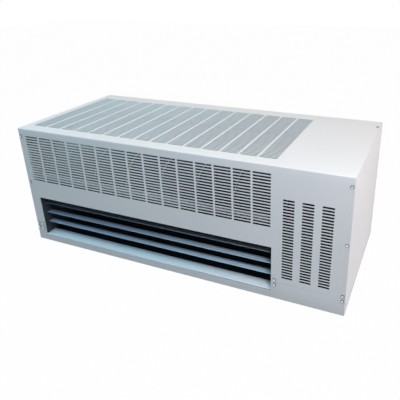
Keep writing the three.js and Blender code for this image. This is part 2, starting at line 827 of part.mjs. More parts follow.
const airCurtain = new THREE.Group()
airCurtain.position.set(-housingWidth / 2, -housingDepth / 2, 0)
airCurtain.add(housingGroup(), outletGroup(), fanGroup(), motorGroup(), electricsGroup(), screwGroup())

export default airCurtain
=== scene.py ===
"""Air curtain of the one metre class, resting on the side that goes against the wall.

Every size below is in millimetres, measured as a maker would on the bench: x from
the left end of the housing, depth from its front face and height from the wall plate.
``Layout.to_frame`` carries a finished shape from there into the model's own frame.
"""

import logging
import math
from dataclasses import dataclass
from enum import Enum
from typing import Callable, Iterable, Sequence

import bmesh
import bpy
from bmesh.types import BMesh, BMFace, BMVert
from mathutils import Matrix, Vector


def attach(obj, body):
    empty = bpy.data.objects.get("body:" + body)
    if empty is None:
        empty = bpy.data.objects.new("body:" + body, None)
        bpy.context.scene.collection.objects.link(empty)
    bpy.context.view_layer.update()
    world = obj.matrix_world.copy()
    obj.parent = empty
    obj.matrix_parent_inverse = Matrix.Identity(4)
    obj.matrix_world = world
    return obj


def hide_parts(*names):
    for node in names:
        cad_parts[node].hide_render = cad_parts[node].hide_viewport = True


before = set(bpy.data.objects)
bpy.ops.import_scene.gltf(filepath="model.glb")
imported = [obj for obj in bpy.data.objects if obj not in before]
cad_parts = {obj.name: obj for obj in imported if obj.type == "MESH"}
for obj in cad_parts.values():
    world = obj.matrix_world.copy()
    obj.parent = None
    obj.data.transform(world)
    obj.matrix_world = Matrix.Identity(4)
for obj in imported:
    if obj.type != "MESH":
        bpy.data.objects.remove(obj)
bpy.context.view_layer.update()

LOG = logging.getLogger("air_curtain")

Point = tuple[float, float]
Span = tuple[float, float]
Colour = tuple[float, float, float]
Stretch = tuple[float, float, float]

SAME_POINT = 1e-4  # millimetres, as in the two below
ON_SIDE = 1e-3
ON_EDGE = 0.01


# ---------------------------------------------------------------- shared layout
@dataclass(frozen=True)
class Layout:
    """Outside sizes of the housing and the places that the sub-assemblies share."""

    width: float = 1070.0
    depth: float = 465.0
    height: float = 407.0
    sheet: float = 1.5
    seat: float = 0.3
    base_flange: float = 56.0
    rear_flange: float = 30.0
    panel_flange: float = 20.0
    fan_left: float = 33.5
    fan_right: float = 864.5
    outlet_left: float = 35.5
    outlet_right: float = 862.5
    outlet_floor: float = 25.5
    outlet_roof: float = 166.5
    axis_depth: float = 135.0
    axis_height: float = 236.0
    rotor_radius: float = 90.0
    proud: float = 2.5
    grommet_height: float = 120.0
    grommet_places: Span = (923.0, 993.0)

    @property
    def inside(self) -> float:
        """First free depth behind a covering sheet."""
        return self.sheet + self.seat

    @property
    def to_frame(self) -> Matrix:
        """Carries a place on the bench, in millimetres, into the model's frame."""
        middle = Vector((-self.width / 2, -self.depth / 2, 0.0))
        return Matrix.Scale(0.001, 4) @ Matrix.Translation(middle)


LAYOUT = Layout()


# ---------------------------------------------------------------- sheet metal work
@dataclass(frozen=True)
class FlatSide:
    """One flat side of a folded sheet, which lies at ``offset`` along ``axis``."""

    axis: int
    offset: float

    @property
    def across(self) -> int:
        """The axis that runs over the side beside X."""
        return 2 if self.axis == 1 else 1

    def faces(self, bm: BMesh) -> list[BMFace]:
        """Every face that lies on this side."""
        return [
            face
            for face in bm.faces
            if all(abs(vert.co[self.axis] - self.offset) < ON_SIDE for vert in face.verts)
        ]

    def centre(self, face: BMFace) -> Point:
        """The middle of a face, along X and across the side."""
        middle = face.calc_center_median()
        return middle.x, middle[self.across]


def with_rims(faces: Iterable[BMFace]) -> list:
    """Gives faces together with their edges and vertices.

    Args:
        faces: Faces of one mesh.

    Returns:
        The faces, edges and vertices, each once.
    """
    picked = list(faces)
    edges = {edge for face in picked for edge in face.edges}
    verts = {vert for face in picked for vert in face.verts}
    return [*picked, *edges, *verts]


def cut(
    bm: BMesh, faces: Iterable[BMFace], place: Sequence[float], along: Sequence[float]
) -> list[BMFace]:
    """Cuts faces along a plane and keeps both halves.

    Args:
        bm: The mesh.
        faces: The faces to cut.
        place: A point on the plane.
        along: The plane's normal.

    Returns:
        The faces after the cut.
    """
    done = bmesh.ops.bisect_plane(
        bm, geom=with_rims(faces), dist=SAME_POINT, plane_co=place, plane_no=along
    )
    return [item for item in done["geom"] if isinstance(item, BMFace)]


def fold(
    line: Sequence[Point], x_from: float, x_to: float, radius: float = 0.0, segments: int = 3
) -> BMesh:
    """Draws an open (depth, height) line out along X and rounds its folds.

    Args:
        line: The sheet's outside, with the metal on the line's left.
        x_from: Left end.
        x_to: Right end.
        radius: Outside radius of every fold; 0 leaves the line as it is.
        segments: Flats that make up one fold.

    Returns:
        The sheet without its thickness, its faces looking outwards.
    """
    bm = bmesh.new()
    verts = [bm.verts.new((x_from, depth, height)) for depth, height in line]
    edges = [bm.edges.new(pair) for pair in zip(verts, verts[1:])]
    push(bm, bmesh.ops.extrude_edge_only(bm, edges=edges)["geom"], x_to - x_from)
    bm.normal_update()
    first = edges[0].link_faces[0]
    run = verts[1].co - verts[0].co
    outward = Vector((0.0, run.z, -run.y))
    if first.normal.dot(outward) < 0:
        bmesh.ops.reverse_faces(bm, faces=bm.faces[:])
    if radius:
        folds = [edge for edge in bm.edges if len(edge.link_faces) == 2]
        round_edges(bm, folds, radius, segments)
    return bm


def round_edges(bm: BMesh, edges: Sequence, radius: float, segments: int = 2) -> None:
    """Rounds edges with the bevel operator.

    Args:
        bm: The mesh.
        edges: The edges to round.
        radius: Distance from the old edge to either new one.
        segments: Flats across the round.
    """
    bmesh.ops.bevel(
        bm, geom=list(edges), offset=radius, offset_type="OFFSET", affect="EDGES",
        segments=segments, profile=0.5, material=-1, clamp_overlap=True,
    )


def thicken(bm: BMesh, thickness: float) -> None:
    """Gives an open sheet its wall, inwards from its faces, and closes its rims.

    Args:
        bm: The sheet.
        thickness: The wall's thickness.
    """
    bm.normal_update()
    bmesh.ops.solidify(bm, geom=bm.faces[:], thickness=thickness)
    bmesh.ops.recalc_face_normals(bm, faces=bm.faces[:])


HEM = 2.0  # height round the wall plate's upper edge that counts as its hem, in millimetres


def mark_backs(bm: BMesh) -> None:
    """Sorts the faces of a housing sheet: outside 0, inside 1, top edges 2, other edges 3.

    Args:
        bm: A sheet with its wall, in its place on the housing.
    """
    half = Vector((LAYOUT.width, LAYOUT.depth, LAYOUT.height)) / 2
    reach = 2 * LAYOUT.sheet + LAYOUT.seat
    bm.normal_update()
    # Inside faces (1), top edges (2) and other edges (3) take finishes that carry painted shade.
    for face in bm.faces:
        place = face.calc_center_median() - half
        axis = max(range(3), key=lambda i: abs(face.normal[i]))
        in_wall = half[axis] - abs(place[axis]) < reach
        outward = face.normal[axis] * place[axis] > 0
        from_hem = abs(place.z + half.z - LAYOUT.base_flange)
        is_hem = half.y + place.y < reach and from_hem < HEM
        if in_wall or is_hem:
            face.material_index = 0 if outward or is_hem else 1
        else:
            face.material_index = 2 if half.z - place.z < reach else 3


def spans(first: float, count: int, opening: float, pitch: float) -> list[Span]:
    """Equal openings in a row, from the lowest up.

    Args:
        first: Lower edge of the first opening.
        count: How many there are.
        opening: Size of each.
        pitch: Distance from one to the next.

    Returns:
        The lower and upper edge of each opening.
    """
    return [(first + i * pitch, first + i * pitch + opening) for i in range(count)]


def within(value: float, openings: Sequence[Span]) -> bool:
    """Whether a value lies inside one of the openings."""
    return any(low < value < high for low, high in openings)


def inside_of(
    side: FlatSide, faces: Iterable[BMFace], columns: Sequence[Span], rows: Sequence[Span]
) -> list[BMFace]:
    """Picks the faces that lie where a column crosses a row.

    Args:
        side: The flat side that the faces lie on.
        faces: The faces to pick from.
        columns: Openings along X.
        rows: Openings across the side.

    Returns:
        The picked faces.
    """
    return [
        face
        for face in faces
        if all(map(within, side.centre(face), (columns, rows)))
    ]


def punch(bm: BMesh, side: FlatSide, columns: Sequence[Span], rows: Sequence[Span]) -> None:
    """Punches an opening wherever a column crosses a row.

    Args:
        bm: A sheet without its thickness.
        side: The flat side to punch.
        columns: Openings along X.
        rows: Openings across the side.
    """
    bounds = ((0, (columns[0][0], columns[-1][1])), (side.across, (rows[0][0], rows[-1][1])))
    for axis, limits in bounds:
        for limit in limits:
            cut(bm, side.faces(bm), unit(axis) * limit, unit(axis))
    zone = inside_of(side, side.faces(bm), [bounds[0][1]], [bounds[1][1]])
    for axis, openings in ((0, columns), (side.across, rows)):
        for edge in sorted({place for opening in openings for place in opening})[1:-1]:
            zone = cut(bm, zone, unit(axis) * edge, unit(axis))
    waste = inside_of(side, zone, columns, rows)
    bmesh.ops.delete(bm, geom=waste, context="FACES")


def unit(axis: int) -> Vector:
    """The unit vector along an axis."""
    return Vector([1.0 if i == axis else 0.0 for i in range(3)])


def punch_round(
    bm: BMesh, side: FlatSide, centre: Point, radius: float, sides: int = 24
) -> None:
    """Punches a round hole, as a polygon whose flats touch the circle.

    Args:
        bm: A sheet without its thickness.
        side: The flat side to punch.
        centre: The hole's middle, along X and across the side.
        radius: The hole's radius.
        sides: Flats of the polygon.
    """
    middle = unit(0) * centre[0] + unit(side.across) * centre[1] + unit(side.axis) * side.offset
    zone = side.faces(bm)
    for axis in (0, side.across):
        for reach in (-radius, radius):
            near = [face for face in zone if near_hole(side, face, centre, radius)]
            zone = [face for face in zone if face not in near]
            zone += cut(bm, near, middle + unit(axis) * reach, unit(axis))
    square = [face for face in zone if near_hole(side, face, centre, radius * 0.99, inside=True)]
    for step in range(sides):
        turn = 2 * math.pi * (step + 0.5) / sides
        along = unit(0) * math.cos(turn) + unit(side.across) * math.sin(turn)
        square = cut(bm, square, middle + along * radius, along)
    waste = [face for face in square if math.dist(side.centre(face), centre) < radius / 2]
    bmesh.ops.delete(bm, geom=waste, context="FACES")


def near_hole(
    side: FlatSide, face: BMFace, centre: Point, reach: float, inside: bool = False
) -> bool:
    """Whether a face overlaps the square round a hole, or lies inside it.

    Args:
        side: The flat side that the face lies on.
        face: The face.
        centre: The hole's middle.
        reach: Half the square's width.
        inside: Ask for a face whose middle is in the square.

    Returns:
        The answer.
    """
    if inside:
        middle = side.centre(face)
        return all(abs(middle[i] - centre[i]) < reach for i in (0, 1))
    for i, axis in enumerate((0, side.across)):
        places = [vert.co[axis] for vert in face.verts]
        if max(places) <= centre[i] - reach or min(places) >= centre[i] + reach:
            return False
    return True


def turned(profile: Sequence[Point], steps: int = 48, ring: bool = False) -> BMesh:
    """Turns a profile of (distance along X, radius) pairs about the X axis.

    Args:
        profile: The line to turn.
        steps: Flats round the axis.
        ring: Whether the line closes on itself, as for a ring.

    Returns:
        The turned body on the X axis.
    """
    bm = bmesh.new()
    verts = [bm.verts.new((distance, radius, 0.0)) for distance, radius in profile]
    edges = [bm.edges.new(pair) for pair in zip(verts, verts[1:])]
    if ring:
        edges.append(bm.edges.new((verts[-1], verts[0])))
    bmesh.ops.spin(
        bm, geom=[*verts, *edges], cent=(0, 0, 0), axis=(1, 0, 0), dvec=(0, 0, 0),
        angle=2 * math.pi, steps=steps, use_merge=True, use_duplicate=False,
    )
    bmesh.ops.remove_doubles(bm, verts=bm.verts[:], dist=SAME_POINT)
    bmesh.ops.recalc_face_normals(bm, faces=bm.faces[:])
    return bm


def push(bm: BMesh, drawn: Sequence, run: float) -> None:
    """Moves freshly drawn vertices along X.

    Args:
        bm: The mesh.
        drawn: What the drawing operator gave back.
        run: How far they go.
    """
    moved = [item for item in drawn if isinstance(item, BMVert)]
    bmesh.ops.translate(bm, verts=moved, vec=(run, 0.0, 0.0))


def bar(outline: Sequence[Point], x_from: float, x_to: float) -> BMesh:
    """Draws a closed (depth, height) outline out along X.

    Args:
        outline: The bar's section.
        x_from: Left end.
        x_to: Right end.

    Returns:
        The solid bar.
    """
    bm = bmesh.new()
    face = bm.faces.new([bm.verts.new((x_from, depth, height)) for depth, height in outline])
    push(bm, bmesh.ops.extrude_face_region(bm, geom=[face])["geom"], x_to - x_from)
    bmesh.ops.recalc_face_normals(bm, faces=bm.faces[:])
    return bm


def rod_line(start: float, stop: float, inner: float, outer: float, soft: float) -> list[Point]:
    """Profile of a rod, or of a sleeve where the inner radius isn't 0.

    Args:
        start: Left end.
        stop: Right end.
        inner: Inner radius.
        outer: Outer radius.
        soft: What is cut off the outer corners.

    Returns:
        The profile, for ``turned``.
    """
    return [
        (start, inner), (start, outer - soft), (start + soft, outer),
        (stop - soft, outer), (stop, outer - soft), (stop, inner),
    ]


def mark(bm: BMesh, rule: Callable[[Vector], int]) -> None:
    """Gives each face the finish that a rule picks.

    Args:
        bm: The mesh.
        rule: Gives the finish's number from the middle of a face.
    """
    for face in bm.faces:
        face.material_index = int(rule(face.calc_center_median()))


def merge(bm: BMesh, other: BMesh) -> None:
    """Adds another mesh to a mesh and frees it.

    Args:
        bm: The mesh that grows.
        other: The mesh that goes into it.
    """
    spare = bpy.data.meshes.new("spare")
    other.to_mesh(spare)
    other.free()
    bm.from_mesh(spare)
    bpy.data.meshes.remove(spare)


def shift(bm: BMesh, x: float, depth: float, height: float) -> BMesh:
    """Moves a whole mesh and gives it back."""
    bmesh.ops.translate(bm, vec=(x, depth, height), verts=bm.verts[:])
    return bm


def on_axis(bm: BMesh, x: float = 0.0) -> BMesh:
    """Moves a mesh that was made about X onto the fan's axis."""
    return shift(bm, x, LAYOUT.axis_depth, LAYOUT.axis_height)


def polar(radius: float, degrees: float) -> Vector:
    """A point round the fan's axis: 0 degrees looks back, 90 looks up."""
    turn = math.radians(degrees)
    return Vector((radius * math.cos(turn), radius * math.sin(turn)))


def link_object(name: str, data: bpy.types.ID) -> bpy.types.Object:
    """Puts data into the scene as an object at the origin.

    Args:
        name: The object's name.
        data: A mesh, lamp or camera.

    Returns:
        The object.
    """
    piece = bpy.data.objects.new(name, data)
    bpy.context.scene.collection.objects.link(piece)
    return piece


def deliver(
    name: str, bm: BMesh, finish: Sequence[bpy.types.Material], node: str,
    body: str = "housing", crease: float = 35.0,
) -> None:
    """Turns a mesh on the bench into a piece of the model.

    Args:
        name: Name of the piece.
        bm: Its mesh, in millimetres; freed here.
        finish: Its materials, the first one for most of it.
        node: The CAD node that it stands for.
        body: The body that it rides on.
        crease: Edges sharper than this many degrees stay sharp.
    """
    bmesh.ops.transform(bm, matrix=LAYOUT.to_frame, verts=bm.verts[:])
    mesh = bpy.data.meshes.new(name)
    bm.to_mesh(mesh)
    bm.free()
    mesh.shade_smooth()
    mesh.set_sharp_from_angle(angle=math.radians(crease))
    for material in finish:
        mesh.materials.append(material)
    piece = link_object(name, mesh)
    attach(piece, body)
    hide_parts(node)
    LOG.info("%s: %d faces, for %s", name, len(mesh.polygons), node)


def dress(node: str, finish: bpy.types.Material) -> None:
    """Gives a CAD node its material and leaves its mesh alone.

    Args:
        node: The node's name.
        finish: The material.
    """
    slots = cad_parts[node].data.materials
    slots.clear()
    slots.append(finish)
    LOG.info("%s: CAD node in %s", node, finish.name)


# ---------------------------------------------------------------- shader trees
NodeRecipe = dict[str, tuple[str, dict]]


def add_nodes(tree: bpy.types.NodeTree, recipe: NodeRecipe) -> dict[str, bpy.types.Node]:
    """Adds shader nodes to a tree.

    Args:
        tree: The tree.
        recipe: Type and settings of each node. A setting in lower case is a property of
            the node, and any other one is an input, by its name or number.

    Returns:
        The nodes by their names in the recipe.
    """
    nodes = {}
    for name, (kind, settings) in recipe.items():
        node = nodes[name] = tree.nodes.new(f"ShaderNode{kind}")
        for key, value in settings.items():
            if isinstance(key, str) and key.islower():
                setattr(node, key, value)
            else:
                node.inputs[key].default_value = value
    return nodes


def join(tree: bpy.types.NodeTree, nodes: dict[str, bpy.types.Node], plan: str) -> None:
    """Links nodes, one line such as ``noise.Fac > mix.Factor`` for each link.

    Args:
        tree: The tree that holds the nodes.
        nodes: The nodes by name.
        plan: The lines. A socket is given by its name or number.
    """
    for line in plan.strip().splitlines():
        ends = [end.strip().split(".") for end in line.split(">")]
        (source, out), (target, into) = (
            (nodes[name], int(socket) if socket.isdigit() else socket) for name, socket in ends
        )
        tree.links.new(source.outputs[out], target.inputs[into])


class GroupKind(Enum):
    """The effects that several finishes share."""

    DRIFT = "tone_drift"
    PEEL = "paint_peel"
    SPANGLE = "zinc_spangle"
    LINES = "tool_lines"
    LIGHT_SHADE_FADE = "painted_light_shade_fade"


@dataclass(frozen=True)
class Effect:
    """Inputs, outputs, nodes and links of one shared effect."""

    inputs: tuple[str, ...]
    outputs: tuple[str, ...]
    nodes: NodeRecipe
    plan: str


COLOURS = ("Light", "Dark", "Near", "Far", "Color")
RGBA_MIX = ("Mix", {"data_type": "RGBA"})
NOISE_RANGE = ("MapRange", {"From Min": 0.3, "From Max": 0.7})
EFFECTS = {
    # Slow change between two tones, as on sprayed or rolled sheet.
    GroupKind.DRIFT: Effect(
        ("Vector", "Scale", "Light", "Dark"), ("Color",),
        {"noise": ("TexNoise", {"Detail": 4.0, "Roughness": 0.6}),
         "spread": NOISE_RANGE, "mix": RGBA_MIX},
        """
        ins.Vector > noise.Vector
        ins.Scale > noise.Scale
        noise.Fac > spread.Value
        spread.Result > mix.Factor
        ins.Light > mix.6
        ins.Dark > mix.7
        mix.2 > outs.Color
        """,
    ),
    # Fine waviness of powder coat or a moulded face, with a finer grit on it.
    GroupKind.PEEL: Effect(
        ("Vector", "Scale", "Grit"), ("Height",),
        {"coarse": ("TexNoise", {"Detail": 2.0}), "fine": ("TexNoise", {"Detail": 1.0}),
         "finer": ("Math", {"operation": "MULTIPLY", 1: 5.0}),
         "add": ("Math", {"operation": "MULTIPLY_ADD"})},
        """
        ins.Vector > coarse.Vector
        ins.Scale > coarse.Scale
        ins.Scale > finer.0
        ins.Vector > fine.Vector
        finer.Value > fine.Scale
        fine.Fac > add.0
        ins.Grit > add.1
        coarse.Fac > add.2
        add.Value > outs.Height
        """,
    ),
    # Crystal flowers of hot dip zinc, each with its own tone and gloss.
    GroupKind.SPANGLE: Effect(
        ("Vector", "Scale", "Light", "Dark", "Gloss", "Dullness"), ("Color", "Roughness"),
        {"cells": ("TexVoronoi", {}), "parts": ("SeparateColor", {}), "mix": RGBA_MIX,
         "gloss": ("MapRange", {})},
        """
        ins.Vector > cells.Vector
        ins.Scale > cells.Scale
        cells.Color > parts.Color
        parts.Red > mix.Factor
        ins.Light > mix.6
        ins.Dark > mix.7
        parts.Green > gloss.Value
        ins.Gloss > gloss.To Min
        ins.Dullness > gloss.To Max
        mix.2 > outs.Color
        gloss.Result > outs.Roughness
        """,
    ),
    # Fine lines that a tool leaves, along the direction the Mapping stretches.
    GroupKind.LINES: Effect(
        ("Vector", "Scale", "Gloss", "Dullness"), ("Height", "Roughness"),
        {"noise": ("TexNoise", {"Detail": 5.0, "Roughness": 0.7}), "gloss": NOISE_RANGE},
        """
        ins.Vector > noise.Vector
        ins.Scale > noise.Scale
        noise.Fac > gloss.Value
        ins.Gloss > gloss.To Min
        ins.Dullness > gloss.To Max
        noise.Fac > outs.Height
        gloss.Result > outs.Roughness
        """,
    ),
    # Change of tone from one place along X to another: painted light and shade that changes across
    # the housing.
    GroupKind.LIGHT_SHADE_FADE: Effect(
        ("Vector", "Start", "Stop", "Near", "Far"), ("Color",),
        {"parts": ("SeparateXYZ", {}),
         "along": ("MapRange", {"interpolation_type": "SMOOTHSTEP"}), "mix": RGBA_MIX},
        """
        ins.Vector > parts.Vector
        parts.X > along.Value
        ins.Start > along.From Min
        ins.Stop > along.From Max
        along.Result > mix.Factor
        ins.Near > mix.6
        ins.Far > mix.7
        mix.2 > outs.Color
        """,
    ),
}


class Groups:
    """Builds each shared effect once, as a node group with named inputs and outputs."""

    def __init__(self) -> None:
        """Starts with no group built."""
        self._built: dict[GroupKind, bpy.types.NodeTree] = {}

    def get(self, kind: GroupKind) -> bpy.types.NodeTree:
        """Gives a group, building it the first time.

        Args:
            kind: Which effect.

        Returns:
            The group's node tree.
        """
        if kind not in self._built:
            self._built[kind] = self._build(kind.value, EFFECTS[kind])
        return self._built[kind]

    @staticmethod
    def _build(name: str, effect: Effect) -> bpy.types.NodeTree:
        """Builds one group.

        Args:
            name: The group's name.
            effect: What it holds.

        Returns:
            The group's node tree.
        """
        tree = bpy.data.node_groups.new(name, "ShaderNodeTree")
        for in_out, labels in (("INPUT", effect.inputs), ("OUTPUT", effect.outputs)):
            for label in labels:
                kind = "Color" if label in COLOURS else "Vector" if label == "Vector" else "Float"
                tree.interface.new_socket(
                    name=label, in_out=in_out, socket_type=f"NodeSocket{kind}"
                )
        ends = {
            "ins": tree.nodes.new("NodeGroupInput"), "outs": tree.nodes.new("NodeGroupOutput")
        }
        join(tree, ends | add_nodes(tree, effect.nodes), effect.plan)
        return tree


class Board:
    """One material's node tree while a finish wires it."""

    def __init__(self, name: str, groups: Groups) -> None:
        """Makes a bare material with its shader.

        Args:
            name: The material's name.
            groups: The shared effects.
        """
        self.material = bpy.data.materials.new(name)
        self.material.use_nodes = True
        self.tree = self.material.node_tree
        self.groups = groups
        self.tree.nodes.clear()
        nodes = add_nodes(
            self.tree, {"out": ("OutputMaterial", {}), "shader": ("BsdfPrincipled", {})}
        )
        join(self.tree, nodes, "shader.BSDF > out.Surface")
        self.shader = nodes["shader"]

    def constants(self, values: dict[str, float]) -> None:
        """Sets values that are the same all over, on the shader's own sockets."""
        for socket, value in values.items():
            self.shader.inputs[socket].default_value = value

    def places(
        self, stretch: Stretch = (1.0, 1.0, 1.0), is_upright: bool = False
    ) -> bpy.types.NodeSocket:
        """Object coordinates behind a Mapping node.

        Args:
            stretch: The Mapping node's scale.
            is_upright: Turns Z to where X was.

        Returns:
            The vector socket.
        """
        turn = (0.0, math.pi / 2 if is_upright else 0.0, 0.0)
        nodes = add_nodes(self.tree, {
            "coords": ("TexCoord", {}), "mapping": ("Mapping", {"Scale": stretch, "Rotation": turn})
        })
        join(self.tree, nodes, "coords.Object > mapping.Vector")
        return nodes["mapping"].outputs["Vector"]

    def effect(self, kind: GroupKind, vector: bpy.types.NodeSocket, **values) -> bpy.types.Node:
        """Places a shared effect with this material's own values.

        Args:
            kind: Which effect.
            vector: The coordinates that it reads.
            **values: Values for its other inputs, by name.

        Returns:
            The group node.
        """
        node = self.tree.nodes.new("ShaderNodeGroup")
        node.node_tree = self.groups.get(kind)
        self.tree.links.new(vector, node.inputs["Vector"])
        for label, value in values.items():
            node.inputs[label].default_value = (*value, 1.0) if isinstance(value, tuple) else value
        return node

    def tone(self, finish: "Finish") -> None:
        """Feeds the shader's colour: two tones that drift and, if wanted, fade into a third, which
        is painted light and shade.

        Args:
            finish: The finish with the tones and the fade.
        """
        drift = self.effect(
            GroupKind.DRIFT, self.places(), Scale=finish.drift_scale, Light=finish.light,
            Dark=finish.dark,
        )
        colour = drift.outputs["Color"]
        if finish.far:
            start, stop = finish.fade
            vector = self.places(is_upright=finish.is_upright)
            node = self.effect(GroupKind.LIGHT_SHADE_FADE, vector, Start=start, Stop=stop, Far=finish.far)
            self.tree.links.new(colour, node.inputs["Near"])
            colour = node.outputs["Color"]
        self.feed(colour, "Base Color")

    def feed(self, output: bpy.types.NodeSocket, socket: str) -> None:
        """Wires an output to one of the shader's sockets."""
        self.tree.links.new(output, self.shader.inputs[socket])

    def relief(self, height: bpy.types.NodeSocket, distance: float, strength: float) -> None:
        """Turns a height into the shader's normal.

        Args:
            height: The height's socket.
            distance: Depth of the relief in metres.
            strength: Share of it that shows.
        """
        bump = self.tree.nodes.new("ShaderNodeBump")
        bump.inputs["Distance"].default_value = distance
        bump.inputs["Strength"].default_value = strength
        self.tree.links.new(height, bump.inputs["Height"])
        self.feed(bump.outputs["Normal"], "Normal")


# ---------------------------------------------------------------- finishes
@dataclass(frozen=True)
class Finish:
    """What every finish has: two tones, and a third one, painted light and shade, where it fades
    along the housing.

    ``fade`` is where the fade starts and stops, in metres along X, or along Z where it is
    upright.
    """

    name: str
    light: Colour
    dark: Colour
    far: Colour | None = None
    fade: Span = (-0.45, 0.2)
    is_upright: bool = False
    drift_scale: float = 2.2


@dataclass(frozen=True)
class PowderCoat(Finish):
    """Sprayed and baked paint on sheet."""

    roughness: float = 0.42
    reflectance: float = 0.5
    coat: float = 0.12
    coat_roughness: float = 0.3
    peel_scale: float = 420.0
    peel_depth: float = 0.00006
    peel_strength: float = 0.5
    grit: float = 0.25

    def material(self, groups: Groups) -> bpy.types.Material:
        """Builds the material from the shared effects."""
        board = Board(self.name, groups)
        board.tone(self)
        peel = board.effect(GroupKind.PEEL, board.places(), Scale=self.peel_scale, Grit=self.grit)
        board.relief(peel.outputs["Height"], self.peel_depth, self.peel_strength)
        board.constants({
            "Roughness": self.roughness, "Metallic": 0.0, "Specular IOR Level": self.reflectance,
            "Coat Weight": self.coat, "Coat Roughness": self.coat_roughness,
        })
        return board.material


@dataclass(frozen=True)
class ZincSheet(Finish):
    """Galvanised sheet with its crystal pattern."""

    gloss: float = 0.34
    dullness: float = 0.52
    metallic: float = 0.85
    crystal_scale: float = 90.0
    grain_scale: float = 300.0
    grain_depth: float = 0.00004
    grain_strength: float = 0.4
    grit: float = 0.2

    def material(self, groups: Groups) -> bpy.types.Material:
        """Builds the material from the shared effects."""
        board = Board(self.name, groups)
        vector = board.places()
        spangle = board.effect(
            GroupKind.SPANGLE, vector, Scale=self.crystal_scale, Light=self.light,
            Dark=self.dark, Gloss=self.gloss, Dullness=self.dullness,
        )
        board.feed(spangle.outputs["Color"], "Base Color")
        board.feed(spangle.outputs["Roughness"], "Roughness")
        grain = board.effect(GroupKind.PEEL, vector, Scale=self.grain_scale, Grit=self.grit)
        board.relief(grain.outputs["Height"], self.grain_depth, self.grain_strength)
        board.constants({"Metallic": self.metallic})
        return board.material


@dataclass(frozen=True)
class WorkedMetal(Finish):
    """Turned, drawn or plated metal with fine tool lines along one direction."""

    stretch: Stretch = (1.0, 1.0, 1.0)
    gloss: float = 0.2
    dullness: float = 0.4
    metallic: float = 1.0
    drift_scale: float = 25.0
    line_scale: float = 600.0
    line_depth: float = 0.00003
    line_strength: float = 0.4

    def material(self, groups: Groups) -> bpy.types.Material:
        """Builds the material from the shared effects."""
        board = Board(self.name, groups)
        board.tone(self)
        lines = board.effect(
            GroupKind.LINES, board.places(self.stretch), Scale=self.line_scale,
            Gloss=self.gloss, Dullness=self.dullness,
        )
        board.feed(lines.outputs["Roughness"], "Roughness")
        board.relief(lines.outputs["Height"], self.line_depth, self.line_strength)
        board.constants({"Metallic": self.metallic})
        return board.material


@dataclass(frozen=True)
class Moulded(Finish):
    """Rubber or plastic straight from the mould."""

    roughness: float = 0.6
    drift_scale: float = 30.0
    grain_scale: float = 500.0
    grain_depth: float = 0.00005
    grain_strength: float = 0.6
    grit: float = 0.6

    def material(self, groups: Groups) -> bpy.types.Material:
        """Builds the material from the shared effects."""
        board = Board(self.name, groups)
        board.tone(self)
        grain = board.effect(
            GroupKind.PEEL, board.places(), Scale=self.grain_scale, Grit=self.grit
        )
        board.relief(grain.outputs["Height"], self.grain_depth, self.grain_strength)
        board.constants({"Roughness": self.roughness, "Metallic": 0.0})
        return board.material


